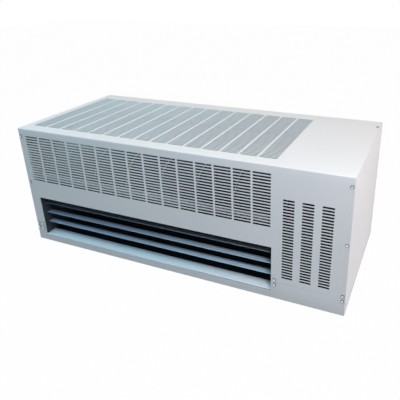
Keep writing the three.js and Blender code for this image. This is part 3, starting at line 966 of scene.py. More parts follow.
class Look(Enum):
    """Every finish on the air curtain, several with painted light and shade in their colours."""

    PAINT = PowderCoat("white_powder_coat", (0.80, 0.81, 0.815), (0.775, 0.785, 0.79))
    # The white powder coat of PAINT, darkened as painted shade for the wall plate's low front
    # flange.
    PLATE = PowderCoat("wall_plate_coat_painted_shade", (0.73, 0.74, 0.745), (0.71, 0.72, 0.725))
    # Grey backing coat on the inside faces at the left end, fading along the housing to painted
    # shade in near-black navy.
    BACKING_AND_SHADE = PowderCoat(
        "grey_backing_coat_fading_to_painted_shade", (0.38, 0.40, 0.38), (0.33, 0.35, 0.33), (0.010, 0.014, 0.060),
        (-0.45, -0.2), roughness=0.6, reflectance=0.12, coat=0.0,
    )
    # Rims of the top grille's slots: painted shade, blue-green and darker towards the right, in
    # place of the cover's white paint.
    TOP_EDGE_SHADE = PowderCoat(
        "top_slot_rim_painted_shade", (0.66, 0.82, 0.85), (0.63, 0.79, 0.82), (0.38, 0.50, 0.55),
        (-0.3, 0.3), roughness=0.45,
    )
    # Rims of the front slots and the sheets' other edges: white paint at the left, fading towards
    # the right to painted shade, near black.
    FRONT_EDGE_SHADE = PowderCoat(
        "edge_coat_fading_to_painted_shade", (0.80, 0.84, 0.84), (0.77, 0.81, 0.81), (0.010, 0.013, 0.034),
        (-0.1, 0.18), roughness=0.45, reflectance=0.1, coat=0.0,
    )
    # Bay partition: painted shade in near-black navy, darker higher up.
    BAY_SHADE = PowderCoat(
        "bay_painted_shade", (0.012, 0.019, 0.14), (0.010, 0.016, 0.12), (0.008, 0.010, 0.022),
        (0.1, 0.26), True, roughness=0.6, reflectance=0.12, coat=0.0,
    )
    # Fan end plate: light grey above, and painted shade below, where it flanks the outlet.
    END_PLATE_SHADED_LOW = PowderCoat(
        "end_plate_painted_shade_low", (0.055, 0.072, 0.082), (0.045, 0.060, 0.070), (0.40, 0.44, 0.42),
        (0.17, 0.24), True, roughness=0.5, reflectance=0.3, coat=0.0,
    )
    # Near-black for the inside of the duct: painted shade.
    DUCT_SHADE = PowderCoat(
        "duct_painted_shade", (0.022, 0.027, 0.033), (0.017, 0.021, 0.026), roughness=0.6,
        reflectance=0.15, coat=0.0,
    )
    # Vanes: blue, darker at the left and lighter towards the right, as painted shade and light over
    # their paint.
    VANE_LIGHT_SHADE = PowderCoat(
        "vane_painted_light_and_shade", (0.42, 0.55, 0.69), (0.38, 0.51, 0.65), (0.58, 0.74, 0.83),
        (-0.4, 0.35), roughness=0.24,
    )
    PLENUM = ZincSheet("plenum_zinc", (0.52, 0.58, 0.58), (0.38, 0.44, 0.44))
    # Sill and tongue edge: white paint tinted cyan and lighter towards the right end, as painted
    # light.
    OUTLET_LIGHT = PowderCoat(
        "outlet_coat_painted_light", (0.79, 0.94, 0.98), (0.76, 0.92, 0.96), (0.97, 0.98, 0.98),
        (-0.1, 0.33), roughness=0.25,
    )
    FAN = WorkedMetal(
        "fan_steel", (0.46, 0.49, 0.52), (0.34, 0.37, 0.40), stretch=(0.05, 1.0, 1.0),
        gloss=0.3, dullness=0.5, metallic=0.9,
    )
    # Rotor blades: green-grey steel at the left, fading towards the right to painted shade in
    # near-black navy.
    BLADE_SHADE = WorkedMetal(
        "blade_steel_fading_to_painted_shade", (0.41, 0.52, 0.48), (0.29, 0.39, 0.35), (0.016, 0.023, 0.042),
        (-0.52, -0.12), stretch=(0.05, 1.0, 1.0), gloss=0.45, dullness=0.6, metallic=0.2,
    )
    SHAFT = WorkedMetal(
        "turned_steel", (0.62, 0.63, 0.64), (0.50, 0.51, 0.53), stretch=(1.0, 0.04, 0.04)
    )
    # Dark zinc for the rim of the screw heads: painted shade.
    SCREW_RIM_SHADE = WorkedMetal(
        "screw_rim_painted_shade", (0.11, 0.15, 0.18), (0.07, 0.10, 0.12), gloss=0.2, dullness=0.35
    )
    # Bright zinc for the crown of the screw heads, as a painted highlight.
    CROWN_HIGHLIGHT = WorkedMetal(
        "screw_crown_painted_highlight", (0.80, 0.83, 0.86), (0.66, 0.70, 0.74), gloss=0.15, dullness=0.3
    )
    CAST = WorkedMetal(
        "cast_iron_paint", (0.022, 0.030, 0.055), (0.016, 0.022, 0.042), gloss=0.45,
        dullness=0.65, metallic=0.2, line_scale=350.0,
    )
    RUBBER = Moulded(
        "black_rubber", (0.018, 0.018, 0.019), (0.012, 0.012, 0.013), roughness=0.75
    )
    GREY = Moulded("grey_plastic", (0.055, 0.062, 0.078), (0.042, 0.048, 0.062), roughness=0.5)
    DARK = Moulded("dark_plastic", (0.035, 0.040, 0.055), (0.026, 0.030, 0.042), roughness=0.45)


class Finishes:
    """The material of every look, each made once."""

    def __init__(self) -> None:
        """Builds the materials."""
        groups = Groups()
        self._made = {look: look.value.material(groups) for look in Look}

    def pick(self, *looks: Look) -> list[bpy.types.Material]:
        """The materials of some looks, in that order."""
        return [self._made[look] for look in looks]


# ---------------------------------------------------------------- housing
@dataclass
class Housing:
    """Cover, wall plate, back panel and side panels."""

    finishes: Finishes
    fold_radius: float = 3.0
    plate_radius: float = 2.5
    slot_height: float = 5.0
    slot_pitch: float = 8.8
    slot_length: float = 50.0
    column_pitch: float = 56.0
    column_first: float = 25.1
    column_count: int = 15
    front_rows: int = 18
    front_drop: float = 23.4
    top_rows: int = 42
    top_first: float = 43.6
    vent_first: float = 893.0
    vent_pitch: float = 51.25
    vent_length: float = 30.5
    vent_count: int = 3
    vent_rows: int = 28
    vent_drop: float = 89.2
    keyhole_radius: float = 9.0
    keyhole_slot: float = 10.0
    keyhole_travel: float = 22.0
    keyhole_depth: float = 400.0
    keyhole_places: tuple[float, ...] = (100.0, 535.0, 970.0)
    grommet_hole: float = 14.3
    hem_round: float = 1.35

    def rows_below(self, drop: float, count: int) -> list[Span]:
        """Rows of slots, the uppermost one starting ``drop`` below the top face."""
        top = LAYOUT.height - drop
        lowest = top - (count - 1) * self.slot_pitch - self.slot_height
        return spans(lowest, count, self.slot_height, self.slot_pitch)

    def cover(self) -> BMesh:
        """Front, top and short rear flange from one sheet, with all three grilles."""
        lay = LAYOUT
        foot = lay.base_flange + lay.seat
        line = [
            (lay.depth, lay.height - lay.rear_flange),
            (lay.depth, lay.height),
            (0.0, lay.height),
            (0.0, foot),
        ]
        bm = fold(line, 0.0, lay.width, self.fold_radius, 5)
        front, top = FlatSide(1, 0.0), FlatSide(2, lay.height)
        columns = spans(self.column_first, self.column_count, self.slot_length, self.column_pitch)
        vents = spans(self.vent_first, self.vent_count, self.vent_length, self.vent_pitch)
        punch(bm, front, columns, self.rows_below(self.front_drop, self.front_rows))
        punch(bm, front, vents, self.rows_below(self.vent_drop, self.vent_rows))
        rows = spans(self.top_first, self.top_rows, self.slot_height, self.slot_pitch)
        punch(bm, top, columns, rows)
        punch(bm, front, [(lay.outlet_left, lay.outlet_right)], [(foot - 1.0, lay.outlet_roof)])
        thicken(bm, lay.sheet)
        mark_backs(bm)
        return bm

    def wall_plate(self) -> BMesh:
        """Wall plate with its tall front flange, rear flange and three keyholes."""
        lay = LAYOUT
        line = [
            (0.0, lay.base_flange), (0.0, 0.0), (lay.depth, 0.0), (lay.depth, lay.rear_flange)
        ]
        bm = fold(line, 0.0, lay.width, self.plate_radius, 4)
        floor = FlatSide(2, 0.0)
        half, head = self.keyhole_slot / 2, self.keyhole_radius
        start = self.keyhole_depth + math.sqrt(head**2 - half**2) * 0.98
        stop = self.keyhole_depth + self.keyhole_travel
        for place in self.keyhole_places:
            punch_round(bm, floor, (place, self.keyhole_depth), head)
            punch(bm, floor, [(place - half, place + half)], [(start, stop)])
        punch(
            bm, FlatSide(1, 0.0), [(lay.outlet_left, lay.outlet_right)],
            [(lay.outlet_floor, lay.base_flange + 1.0)],
        )
        thicken(bm, lay.sheet)
        hem = [
            edge for edge in bm.edges
            if all(
                abs(vert.co.z - lay.base_flange) < ON_EDGE and abs(vert.co.y) < ON_EDGE
                for vert in edge.verts
            )
        ]
        bmesh.ops.bevel(
            bm, geom=hem, offset=self.hem_round, segments=2, profile=0.5, affect="EDGES"
        )
        mark_backs(bm)
        return bm

    def back(self) -> BMesh:
        """Plain sheet between the rear flanges, with two round cable holes."""
        lay = LAYOUT
        line = [
            (lay.depth, lay.rear_flange + lay.seat),
            (lay.depth, lay.height - lay.rear_flange - lay.seat),
        ]
        bm = fold(line, 0.0, lay.width)
        for place in lay.grommet_places:
            hole = (place, lay.grommet_height)
            punch_round(bm, FlatSide(1, lay.depth), hole, self.grommet_hole)
        thicken(bm, lay.sheet)
        mark_backs(bm)
        return bm

    def side(self, is_left: bool) -> BMesh:
        """Tray that closes one end, its flanges looking inwards.

        Args:
            is_left: The left end rather than the right one.

        Returns:
            The tray.
        """
        lay = LAYOUT
        near, far = lay.inside, lay.depth - lay.inside
        low, high = lay.inside, lay.height - lay.inside
        cut_off = self.fold_radius
        outline = [
            (near, low), (far, low), (far, high), (near + cut_off, high), (near, high - cut_off)
        ]
        plate = 0.0 if is_left else lay.width
        inward = lay.panel_flange if is_left else -lay.panel_flange
        bm = bmesh.new()
        bm.faces.new([bm.verts.new((plate, depth, height)) for depth, height in outline])
        push(bm, bmesh.ops.extrude_edge_only(bm, edges=bm.edges[:])["geom"], inward)
        bmesh.ops.recalc_face_normals(bm, faces=bm.faces[:])
        face = max(bm.faces, key=lambda item: item.calc_area())
        if face.normal.x * inward > 0:
            bmesh.ops.reverse_faces(bm, faces=bm.faces[:])
        folds = [edge for edge in bm.edges if len(edge.link_faces) == 2]
        round_edges(bm, folds, 2.0, 3)
        thicken(bm, lay.sheet)
        mark_backs(bm)
        return bm

    def build(self) -> None:
        """Makes and places the pieces of the housing."""
        # The inside and the edges of the sheets carry painted shade.
        edges = (Look.BACKING_AND_SHADE, Look.TOP_EDGE_SHADE, Look.FRONT_EDGE_SHADE)
        for name, bm, outside, node in (
            ("grille_cover", self.cover(), Look.PAINT, "cover"),
            ("wall_plate", self.wall_plate(), Look.PLATE, "base_panel"),
            ("rear_panel", self.back(), Look.PAINT, "back_panel"),
            ("end_panel_left", self.side(True), Look.PAINT, "side_panel_left"),
            ("end_panel_right", self.side(False), Look.PAINT, "side_panel_right"),
        ):
            deliver(name, bm, self.finishes.pick(outside, *edges), node)


# ---------------------------------------------------------------- outlet and scroll
@dataclass
class Outlet:
    """Duct plates of the fan, the outlet's lip and its three vanes."""

    finishes: Finishes
    fold_radius: float = 1.6
    lip_depth: float = 40.0
    lip_front: float = 20.0
    lip_rear: float = 8.0
    scroll_gap: float = 8.0
    scroll_start: float = 60.0
    scroll_end: float = -90.0
    scroll_floor: float = 28.0
    scroll_steps: int = 40
    tongue_gap: float = 6.0
    tongue_angle: float = 218.0
    tongue_turn: float = 17.0
    tongue_edge: float = 22.0
    tongue_edge_gap: float = 15.0
    tongue_foot: float = 14.0
    vane_chord: float = 30.0
    vane_thickness: float = 3.0
    vane_depth: float = 33.0
    vane_heights: tuple[float, ...] = (63.5, 99.4, 135.3)
    vane_tilt: float = 9.0
    vane_end_gap: float = 0.8
    vane_crease: float = 50.0
    pin_radius: float = 3.0

    def ends(self) -> Span:
        """Where the duct plates start and end between the fan's end plates."""
        return LAYOUT.fan_left + LAYOUT.seat, LAYOUT.fan_right - LAYOUT.seat

    def scroll(self) -> BMesh:
        """Deck behind the rotor and the spiral that opens towards the lip."""
        lay = LAYOUT
        axis = Vector((lay.axis_depth, lay.axis_height))
        start = lay.rotor_radius + self.scroll_gap
        end = lay.axis_height - self.scroll_floor
        spiral = []
        for i in range(self.scroll_steps + 1):
            share = i / self.scroll_steps
            turn = self.scroll_start + share * (self.scroll_end - self.scroll_start)
            spiral.append(tuple(polar(start * (end / start) ** share, turn) + axis))
        rear = (lay.depth - lay.inside, spiral[0][1])
        front = (lay.inside + self.lip_depth + lay.seat, lay.outlet_floor - lay.sheet)
        bm = fold([rear, *spiral, front], *self.ends())
        thicken(bm, lay.sheet)
        # The spiral and its run to the lip get the duct's painted shade; the level deck behind
        # keeps its zinc.
        mark(bm, lambda middle: middle.z > rear[1] - 2 * lay.sheet)
        return bm

    def tongue(self) -> BMesh:
        """Upper wall of the outlet, its nose close to the rotor."""
        lay = LAYOUT
        axis = Vector((lay.axis_depth, lay.axis_height))
        reach = lay.rotor_radius + self.tongue_gap
        nose = polar(reach, self.tongue_angle) + axis
        shoulder = polar(reach + lay.sheet, self.tongue_angle - self.tongue_turn) + axis
        edge = lay.axis_depth - lay.rotor_radius - self.tongue_edge_gap
        roof = lay.outlet_roof + 2 * lay.sheet
        line = [
            (lay.inside, roof + self.tongue_foot),
            (lay.inside, roof),
            ((lay.inside + nose.x) * 0.65, roof),
            tuple(nose),
            tuple(shoulder),
            (edge, lay.axis_height - self.tongue_edge / 2),
            (edge, lay.axis_height + self.tongue_edge / 2),
        ]
        bm = fold(line, *self.ends(), radius=self.fold_radius)
        thicken(bm, lay.sheet)
        upright = lay.axis_height - self.tongue_edge / 2 - 3.0
        # Roof and nose take the duct's painted shade; the upright edge, seen through the grille,
        # takes the outlet paint with its painted light.
        mark(bm, lambda middle: middle.z < upright)
        return bm

    def lip(self) -> BMesh:
        """Level lower wall of the outlet, folded down at front and rear."""
        lay = LAYOUT
        rear = lay.inside + self.lip_depth
        line = [
            (rear, lay.outlet_floor - self.lip_rear),
            (rear, lay.outlet_floor),
            (lay.inside, lay.outlet_floor),
            (lay.inside, lay.outlet_floor - self.lip_front),
        ]
        bm = fold(line, *self.ends(), radius=self.fold_radius)
        thicken(bm, lay.sheet)
        return bm

    def vane_section(self) -> list[Point]:
        """Lens-shaped section with the round spine that holds the end pins."""
        half, thick = self.vane_chord / 2, self.vane_thickness / 2
        count = 16
        upper = []
        for i in range(count + 1):
            depth = -half * math.cos(math.pi * i / count)
            lens = thick * (1.0 - (depth / half) ** 4) ** 0.5
            spine = math.sqrt(max(self.pin_radius**2 - depth**2, 0.0))
            upper.append((depth, max(lens, spine)))
        lower = [(depth, -height) for depth, height in reversed(upper[1:-1])]
        return upper + lower

    def vane(self, height: float) -> BMesh:
        """One vane at rest.

        Args:
            height: Height of its pivot.

        Returns:
            The vane with both end pins.
        """
        lay = LAYOUT
        left, right = lay.fan_left + self.vane_end_gap, lay.fan_right - self.vane_end_gap
        bm = bar(self.vane_section(), left, right)
        for start, stop in (
            (lay.fan_left - lay.sheet, left + 1.0), (right - 1.0, lay.fan_right + lay.sheet)
        ):
            merge(bm, turned(rod_line(start, stop, 0.0, self.pin_radius, 0.5), 24))
        tilt = Matrix.Rotation(-math.radians(self.vane_tilt), 4, "X")
        bmesh.ops.transform(bm, matrix=tilt, verts=bm.verts[:])
        return shift(bm, 0.0, self.vane_depth, height)

    def build(self) -> None:
        """Makes and places the duct plates, the lip and the vanes."""
        pick = self.finishes.pick
        # Duct, tongue, sill, vanes and end plate carry painted light and shade in their finishes.
        scroll = pick(Look.DUCT_SHADE, Look.PLENUM)
        deliver("scroll_sheet", self.scroll(), scroll, "scroll_plate")
        tongue = pick(Look.OUTLET_LIGHT, Look.DUCT_SHADE)
        deliver("tongue_sheet", self.tongue(), tongue, "tongue_plate")
        deliver("outlet_sill", self.lip(), pick(Look.OUTLET_LIGHT), "outlet_lip")
        bodies = ("vane_low", "vane_mid", "vane_high")
        for i, (body, height) in enumerate(zip(bodies, self.vane_heights), 1):
            deliver(
                f"air_vane_{i}", self.vane(height), pick(Look.VANE_LIGHT_SHADE), f"vane_{i}",
                body, self.vane_crease,
            )
        # The end plate is painted shade in its low part, and the bay partition is painted shade all
        # over.
        dress("fan_end_plate", *pick(Look.END_PLATE_SHADED_LOW))
        dress("bay_partition", *pick(Look.BAY_SHADE))


# ---------------------------------------------------------------- fan
@dataclass
class Fan:
    """Cross-flow rotor with its left bearing."""

    finishes: Finishes
    left: float = 40.0
    right: float = 852.5
    ring_count: int = 6
    ring_pitch: float = 121.5
    ring_width: float = 24.0
    disc: float = 2.0
    blade_count: int = 36
    blade_rim: float = 87.0
    blade_chord: float = 20.0
    blade_angle: float = 62.0
    blade_camber: float = 3.0
    blade_sheet: float = 0.8
    hub_radius: float = 20.0
    hub_length: float = 14.0
    hub_overlap: float = 4.0
    highlight_rim_band: float = 0.4
    shaft_inset: float = 1.5
    stub_radius: float = 8.0
    bearing_radius: float = 16.0
    bearing_width: float = 11.0
    rubber_wall: float = 4.0
    housing_wall: float = 5.0
    flange_radius: float = 36.0
    flange: float = 2.5

    def ring_places(self) -> list[float]:
        """Left faces of the support rings, counted back from the driven end."""
        last = self.right - self.disc
        return [last - self.ring_pitch * (i + 1) for i in range(self.ring_count)]

    def disc_ring(self, x: float, inner: float) -> BMesh:
        """A pressed ring with rounded rims.

        Args:
            x: Its left face.
            inner: Its inner radius.

        Returns:
            The ring about X.
        """
        soft = 0.5
        stop, outer = x + self.disc, LAYOUT.rotor_radius
        profile = [
            (x, inner + soft), (x + soft, inner), (stop - soft, inner), (stop, inner + soft),
            (stop, outer - soft), (stop - soft, outer), (x + soft, outer), (x, outer - soft),
        ]
        return turned(profile, 72, ring=True)

    def blade(self) -> BMesh:
        """One thin curved blade between the end discs."""
        rim = Vector((self.blade_rim, 0.0))
        lean = math.radians(180.0 - self.blade_angle)
        inner = rim + Vector((math.cos(lean), math.sin(lean))) * self.blade_chord
        run = (inner - rim).normalized()
        side = Vector((run.y, -run.x))
        count = 6
        line = []
        for i in range(count + 1):
            share = i / count
            bow = 4 * share * (1 - share) * self.blade_camber
            line.append(rim.lerp(inner, share) - side * bow)
        outline = [tuple(point + side * self.blade_sheet / 2) for point in line]
        outline += [tuple(point - side * self.blade_sheet / 2) for point in reversed(line)]
        return bar(outline, self.left + self.disc / 2, self.right - self.disc / 2)

    def rotor(self) -> BMesh:
        """Blades, support rings, end discs and hubs as one welded rotor."""
        bm = self.blade()
        copies = self.blade_count - 1
        bmesh.ops.spin(
            bm, geom=[*bm.verts, *bm.edges, *bm.faces], cent=(0, 0, 0), axis=(1, 0, 0),
            dvec=(0, 0, 0), angle=2 * math.pi * copies / self.blade_count, steps=copies,
            use_merge=False, use_duplicate=True,
        )
        mark(bm, lambda middle: 1)
        for x in self.ring_places():
            merge(bm, self.disc_ring(x, LAYOUT.rotor_radius - self.ring_width))
        for x in (self.left, self.right - self.disc):
            merge(bm, self.disc_ring(x, self.hub_radius - self.hub_overlap))
        # Outer rims of the support rings and end discs get the white paint as a painted highlight.
        rim = LAYOUT.rotor_radius - self.highlight_rim_band
        for face in bm.faces:
            if face.material_index == 0 and face.calc_center_median().yz.length > rim:
                face.material_index = 2
        bore = self.stub_radius + LAYOUT.seat
        for start in (self.left, self.right - self.hub_length):
            hub = rod_line(start, start + self.hub_length, bore, self.hub_radius, 1.0)
            merge(bm, turned(hub, 36, ring=True))
        bmesh.ops.recalc_face_normals(bm, faces=bm.faces[:])
        return on_axis(bm)

    def build(self) -> None:
        """Makes and places the rotor and everything at its left end."""
        pick = self.finishes.pick
        seat = LAYOUT.seat
        # Blades take a finish fading to painted shade; the rings' rims take white paint as painted
        # highlight.
        looks = pick(Look.FAN, Look.BLADE_SHADE, Look.PAINT)
        deliver("bladed_rotor", self.rotor(), looks, "fan_rotor", "rotor")
        rim = LAYOUT.fan_left - LAYOUT.sheet - seat
        end = rim - self.flange - self.bearing_width
        stop = end + self.bearing_width
        stub_end = self.left + self.hub_length - self.shaft_inset
        stub = rod_line(end + self.shaft_inset, stub_end, 0.0, self.stub_radius, 0.8)
        steel = pick(Look.SHAFT)
        deliver(
            "stub_shaft", on_axis(turned(stub)), steel, "rotor_stub_shaft", "rotor"
        )
        bore, outer = self.stub_radius + 0.4, self.bearing_radius
        inner_race, outer_race = bore + 2.4, outer - 2.4
        groove = 1.0
        bearing = [
            (end, bore), (end, inner_race), (end + groove, inner_race + 0.2),
            (end + groove, outer_race - 0.2), (end, outer_race), (end, outer - 0.4),
            (end + 0.4, outer), (stop - 0.4, outer), (stop, outer - 0.4), (stop, outer_race),
            (stop - groove, outer_race - 0.2), (stop - groove, inner_race + 0.2),
            (stop, inner_race), (stop, bore),
        ]
        rubber_in = outer + seat
        rubber_out = rubber_in + self.rubber_wall
        rubber = rod_line(end, stop, rubber_in, rubber_out, 0.6)
        cast_in = rubber_out + seat
        cast_out = cast_in + self.housing_wall
        front = rim - self.flange
        cast = [
            (end, cast_in), (end, cast_out - 1.0), (end + 1.0, cast_out), (front - 1.5, cast_out),
            (front, cast_out + 1.5), (front, self.flange_radius - 0.8),
            (front + 0.8, self.flange_radius), (rim, self.flange_radius), (rim, cast_in),
        ]
        for name, profile, look, node, slot in (
            ("sealed_bearing", bearing, Look.SHAFT, "ball_bearing", "shaft_steel"),
            ("rubber_seat", rubber, Look.RUBBER, "bearing_rubber_ring", "black_rubber"),
            ("bearing_carrier", cast, Look.CAST, "bearing_housing", "cast_metal"),
        ):
            deliver(name, on_axis(turned(profile, ring=True)), pick(look), node)


# ---------------------------------------------------------------- motor
@dataclass
class Motor:
    """Finned motor on four rubber buffers, with the shaft that drives the rotor."""

    finishes: Finishes
    face: float = 866.3
    buffer_length: float = 17.4
    buffer_radius: float = 8.0
    buffer_circle: float = 60.0
    buffer_places: tuple[float, ...] = (45.0, 135.0, 225.0, 315.0)
    body_length: float = 106.0
    body_radius: float = 58.0
    fin_height: float = 4.5
    flange_radius: float = 72.0
    flange: float = 5.0
    bell_radius: float = 44.0
    bell: float = 16.0
    shaft_radius: float = 7.0
    bore: float = 7.6
    steps: int = 72
    fin_inset: float = 1.1
    fin_area: float = 200.0
    rotor_gap: float = 12.0
    hub_length: float = 14.0

    def body(self) -> BMesh:
        """Flange, finned barrel and rear bell."""
        start = self.face + self.buffer_length + LAYOUT.seat
        barrel = start + self.flange
        end = start + self.body_length
        rear = end + self.bell
        core = self.body_radius - self.fin_height
        flange, bell = self.flange_radius, self.bell_radius
        profile = [
            (start, self.bore), (start, flange - 1.0), (start + 1.0, flange),
            (barrel - 1.0, flange), (barrel, flange - 1.0), (barrel, core + 2.0),
            (barrel + 2.0, core), (end - 6.0, core), (end - 2.0, core - 1.0),
            (end + 3.0, core - 3.0), (rear - 3.0, bell - 2.0), (rear, bell - 5.0),
            (rear, self.bore),
        ]
        bm = turned(profile, self.steps, ring=True)
        bm.normal_update()
        fins = [
            face for face in bm.faces
            if abs(face.normal.x) < 0.01 and face.calc_center_median().yz.length > core * 0.98
            and face.calc_area() > self.fin_area
        ]
        chosen = sorted(fins, key=lambda face: math.atan2(*face.calc_center_median().yz))[::2]
        bmesh.ops.inset_individual(
            bm, faces=chosen, thickness=self.fin_inset, depth=self.fin_height
        )
        bmesh.ops.recalc_face_normals(bm, faces=bm.faces[:])
        return on_axis(bm)

    def shaft(self) -> BMesh:
        """Motor shaft from the rotor's hub to the rear bell."""
        start = LAYOUT.fan_right - self.rotor_gap - self.hub_length
        rear = self.face + self.buffer_length + LAYOUT.seat + self.body_length + self.bell
        profile = rod_line(start, rear - LAYOUT.sheet, 0.0, self.shaft_radius, 0.8)
        return on_axis(turned(profile, 36))

    def buffer(self, degrees: float) -> BMesh:
        """One waisted rubber buffer.

        Args:
            degrees: Its place round the motor.

        Returns:
            The buffer between partition and motor.
        """
        length, radius = self.buffer_length, self.buffer_radius
        spot = polar(self.buffer_circle, degrees)
        profile = [
            (0.0, 0.0), (0.0, radius - 0.5), (0.5, radius), (2.0, radius),
            (length * 0.3, radius * 0.82), (length * 0.5, radius * 0.76),
            (length * 0.7, radius * 0.82), (length - 2.0, radius), (length - 0.5, radius),
            (length, radius - 0.5), (length, 0.0),
        ]
        return shift(on_axis(turned(profile, 32), self.face), 0.0, *spot)

    def build(self) -> None:
        """Makes and places the motor, its shaft and its buffers."""
        pick = self.finishes.pick
        deliver("finned_motor", self.body(), pick(Look.CAST), "motor_body")
        steel = pick(Look.SHAFT)
        deliver("drive_shaft", self.shaft(), steel, "motor_shaft", "rotor")
        for i, place in enumerate(self.buffer_places, 1):
            rubber = pick(Look.RUBBER)
            deliver(
                f"rubber_buffer_{i}", self.buffer(place), rubber, f"motor_buffer_{i}",
            )


# ---------------------------------------------------------------- electrics
@dataclass
class Electrics:
    """Rail with terminals and contactor, the capacitor and the cable grommets."""

    finishes: Finishes
    grommet_radius: float = 17.0
    grommet_neck: float = 13.7
    grommet_core: float = 5.0

    def grommet(self, x: float) -> BMesh:
        """Rubber grommet with a stepped membrane, pressed into the back panel.

        Args:
            x: Its place along the housing.

        Returns:
            The grommet.
        """
        proud, seat = LAYOUT.proud, LAYOUT.seat
        neck, radius, core = self.grommet_neck, self.grommet_radius, -self.grommet_core
        low, high = proud - 1.2, proud - 0.5
        profile = [
            (core, 0.0), (core, neck - 1.0), (core + 1.0, neck), (seat, neck),
            (seat, radius - 0.6), (seat + 0.6, radius), (proud - 1.0, radius - 0.8),
            (proud, radius - 2.6), (proud, radius - 4.6), (low, radius - 5.6), (low, 7.4),
            (high, 7.0), (high, 6.2), (low, 5.8), (low, 3.4), (high, 3.0), (high, 2.2),
            (low, 1.8), (low, 0.0),
        ]
        bm = turned(profile, 40)
        aim = Matrix.Rotation(math.pi / 2, 3, "Z")
        bmesh.ops.rotate(bm, cent=(0, 0, 0), matrix=aim, verts=bm.verts[:])
        return shift(bm, x, LAYOUT.depth, LAYOUT.grommet_height)

    def build(self) -> None:
        """Dresses the electrics and makes the grommets."""
        pick = self.finishes.pick
        for i, x in enumerate(LAYOUT.grommet_places, 1):
            rubber = pick(Look.RUBBER)
            deliver(f"grommet_{i}", self.grommet(x), rubber, f"cable_grommet_{i}")
        for node, look in (
            ("terminal_rail", Look.CAST), ("terminal_block", Look.DARK),
            ("fan_contactor", Look.GREY), ("motor_capacitor", Look.GREY),
            ("capacitor_clip", Look.CAST),
        ):
            dress(node, *pick(look))


# ---------------------------------------------------------------- fasteners
@dataclass
class Fasteners:
    """The fourteen pan head screws that hold the cover and the wall plate."""

    finishes: Finishes
    head_radius: float = 4.75
    shank_radius: float = 2.0
    shank_length: float = 8.0
    recess_radius: float = 2.5
    recess_depth: float = 1.2
    recess_arms: int = 4
    head_steps: int = 24
    shaded_rim_share: float = 0.72
    crease: float = 40.0
    front_turn: float = 37.0
    top_turn: float = 53.0
    ends: tuple[float, ...] = (7.5, 1062.5)
    end_heights: tuple[float, ...] = (381.5, 220.0, 64.0, 48.0)
    plates: tuple[float, ...] = (25.5, 872.5)
    plate_heights: tuple[float, ...] = (64.0, 48.0)
    top_depth: float = 407.0

    def screw(self) -> BMesh:
        """One screw, its head's underside at the origin and its head along +X."""
        crown = LAYOUT.proud - LAYOUT.seat
        head, shank = self.head_radius, self.shank_radius
        tip = -self.shank_length
        profile = [
            (tip, 0.0), (tip + 1.2, shank * 0.5), (tip + 1.8, shank), (0.0, shank),
            (0.0, head - 0.3), (0.3, head), (crown * 0.45, head * 0.985),
            (crown * 0.78, head * 0.86), (crown * 0.95, head * 0.68),
            (crown, self.recess_radius),
        ]
        bm = turned(profile, self.head_steps)
        rim = [edge for edge in bm.edges if len(edge.link_faces) == 1]
        cap = bmesh.ops.contextual_create(bm, geom=rim)["faces"]
        bmesh.ops.poke(bm, faces=cap)
        wings = [
            face for face in bm.faces
            if len(face.verts) == 3 and face.calc_center_median().x > crown * 0.9
        ]
        wings.sort(key=lambda face: math.atan2(*face.calc_center_median().yz))
        arms = wings[:: self.head_steps // self.recess_arms]
        sunk = bmesh.ops.extrude_face_region(bm, geom=arms)["geom"]
        bmesh.ops.delete(bm, geom=arms, context="FACES_KEEP_BOUNDARY")
        push(bm, sunk, -self.recess_depth)
        bmesh.ops.remove_doubles(bm, verts=bm.verts[:], dist=SAME_POINT)
        bmesh.ops.recalc_face_normals(bm, faces=bm.faces[:])
        # The head's rim gets painted shade, its crown painted highlight.
        mark(bm, lambda middle: middle.yz.length > head * self.shaded_rim_share)
        return bm

    def placed(self, name: str, turn: float, spot: Sequence[float], is_top: bool) -> None:
        """Drives one screw home.

        Args:
            name: The CAD node that it stands for.
            turn: How far its recess is turned, in degrees.
            spot: Where its axis meets the sheet.
            is_top: The screw looks up rather than forward.
        """
        bm = self.screw()
        spin = Matrix.Rotation(math.radians(turn), 3, "X")
        aim = Matrix.Rotation(-math.pi / 2, 3, "Y" if is_top else "Z")
        bmesh.ops.rotate(bm, cent=(0, 0, 0), matrix=aim @ spin, verts=bm.verts[:])
        shift(bm, *spot)
        # The left top screw's rim keeps the crown's painted highlight; every other rim gets painted
        # shade.
        rim = Look.CROWN_HIGHLIGHT if is_top and spot[0] < LAYOUT.width / 2 else Look.SCREW_RIM_SHADE
        looks = self.finishes.pick(Look.CROWN_HIGHLIGHT, rim)
        deliver(f"pan_head_{name}", bm, looks, name, crease=self.crease)

    def build(self) -> None:
        """Places every screw, each turned as a hand driver leaves it."""
        seat = LAYOUT.seat
        fronts = [(x, z) for x in self.ends for z in self.end_heights]
        fronts += [(x, z) for x in self.plates for z in self.plate_heights]
        for i, (x, z) in enumerate(fronts, 1):
            self.placed(f"front_screw_{i}", self.front_turn * i, (x, -seat, z), False)
        for i, x in enumerate(self.ends, 1):
            spot = (x, self.top_depth, LAYOUT.height + seat)
            self.placed(f"top_screw_{i}", self.top_turn * i, spot, True)


# ---------------------------------------------------------------- studio
@dataclass(frozen=True)
class Softbox:
    """A rectangular lamp that looks at a point."""

    name: str
    place: tuple[float, float, float]
    target: tuple[float, float, float]
    size: tuple[float, float]
    power: float
    colour: Colour

    def build(self) -> None:
        """Hangs the lamp."""
        lamp = bpy.data.lights.new(self.name, "AREA")
        lamp.shape = "RECTANGLE"
        lamp.size, lamp.size_y = self.size
        lamp.energy = self.power
        lamp.color = self.colour
        piece = link_object(self.name, lamp)
        piece.location = self.place
        aim = Vector(self.target) - Vector(self.place)
        piece.rotation_euler = aim.to_track_quat("-Z", "Y").to_euler()
        LOG.info("%s: %.0f W", self.name, self.power)


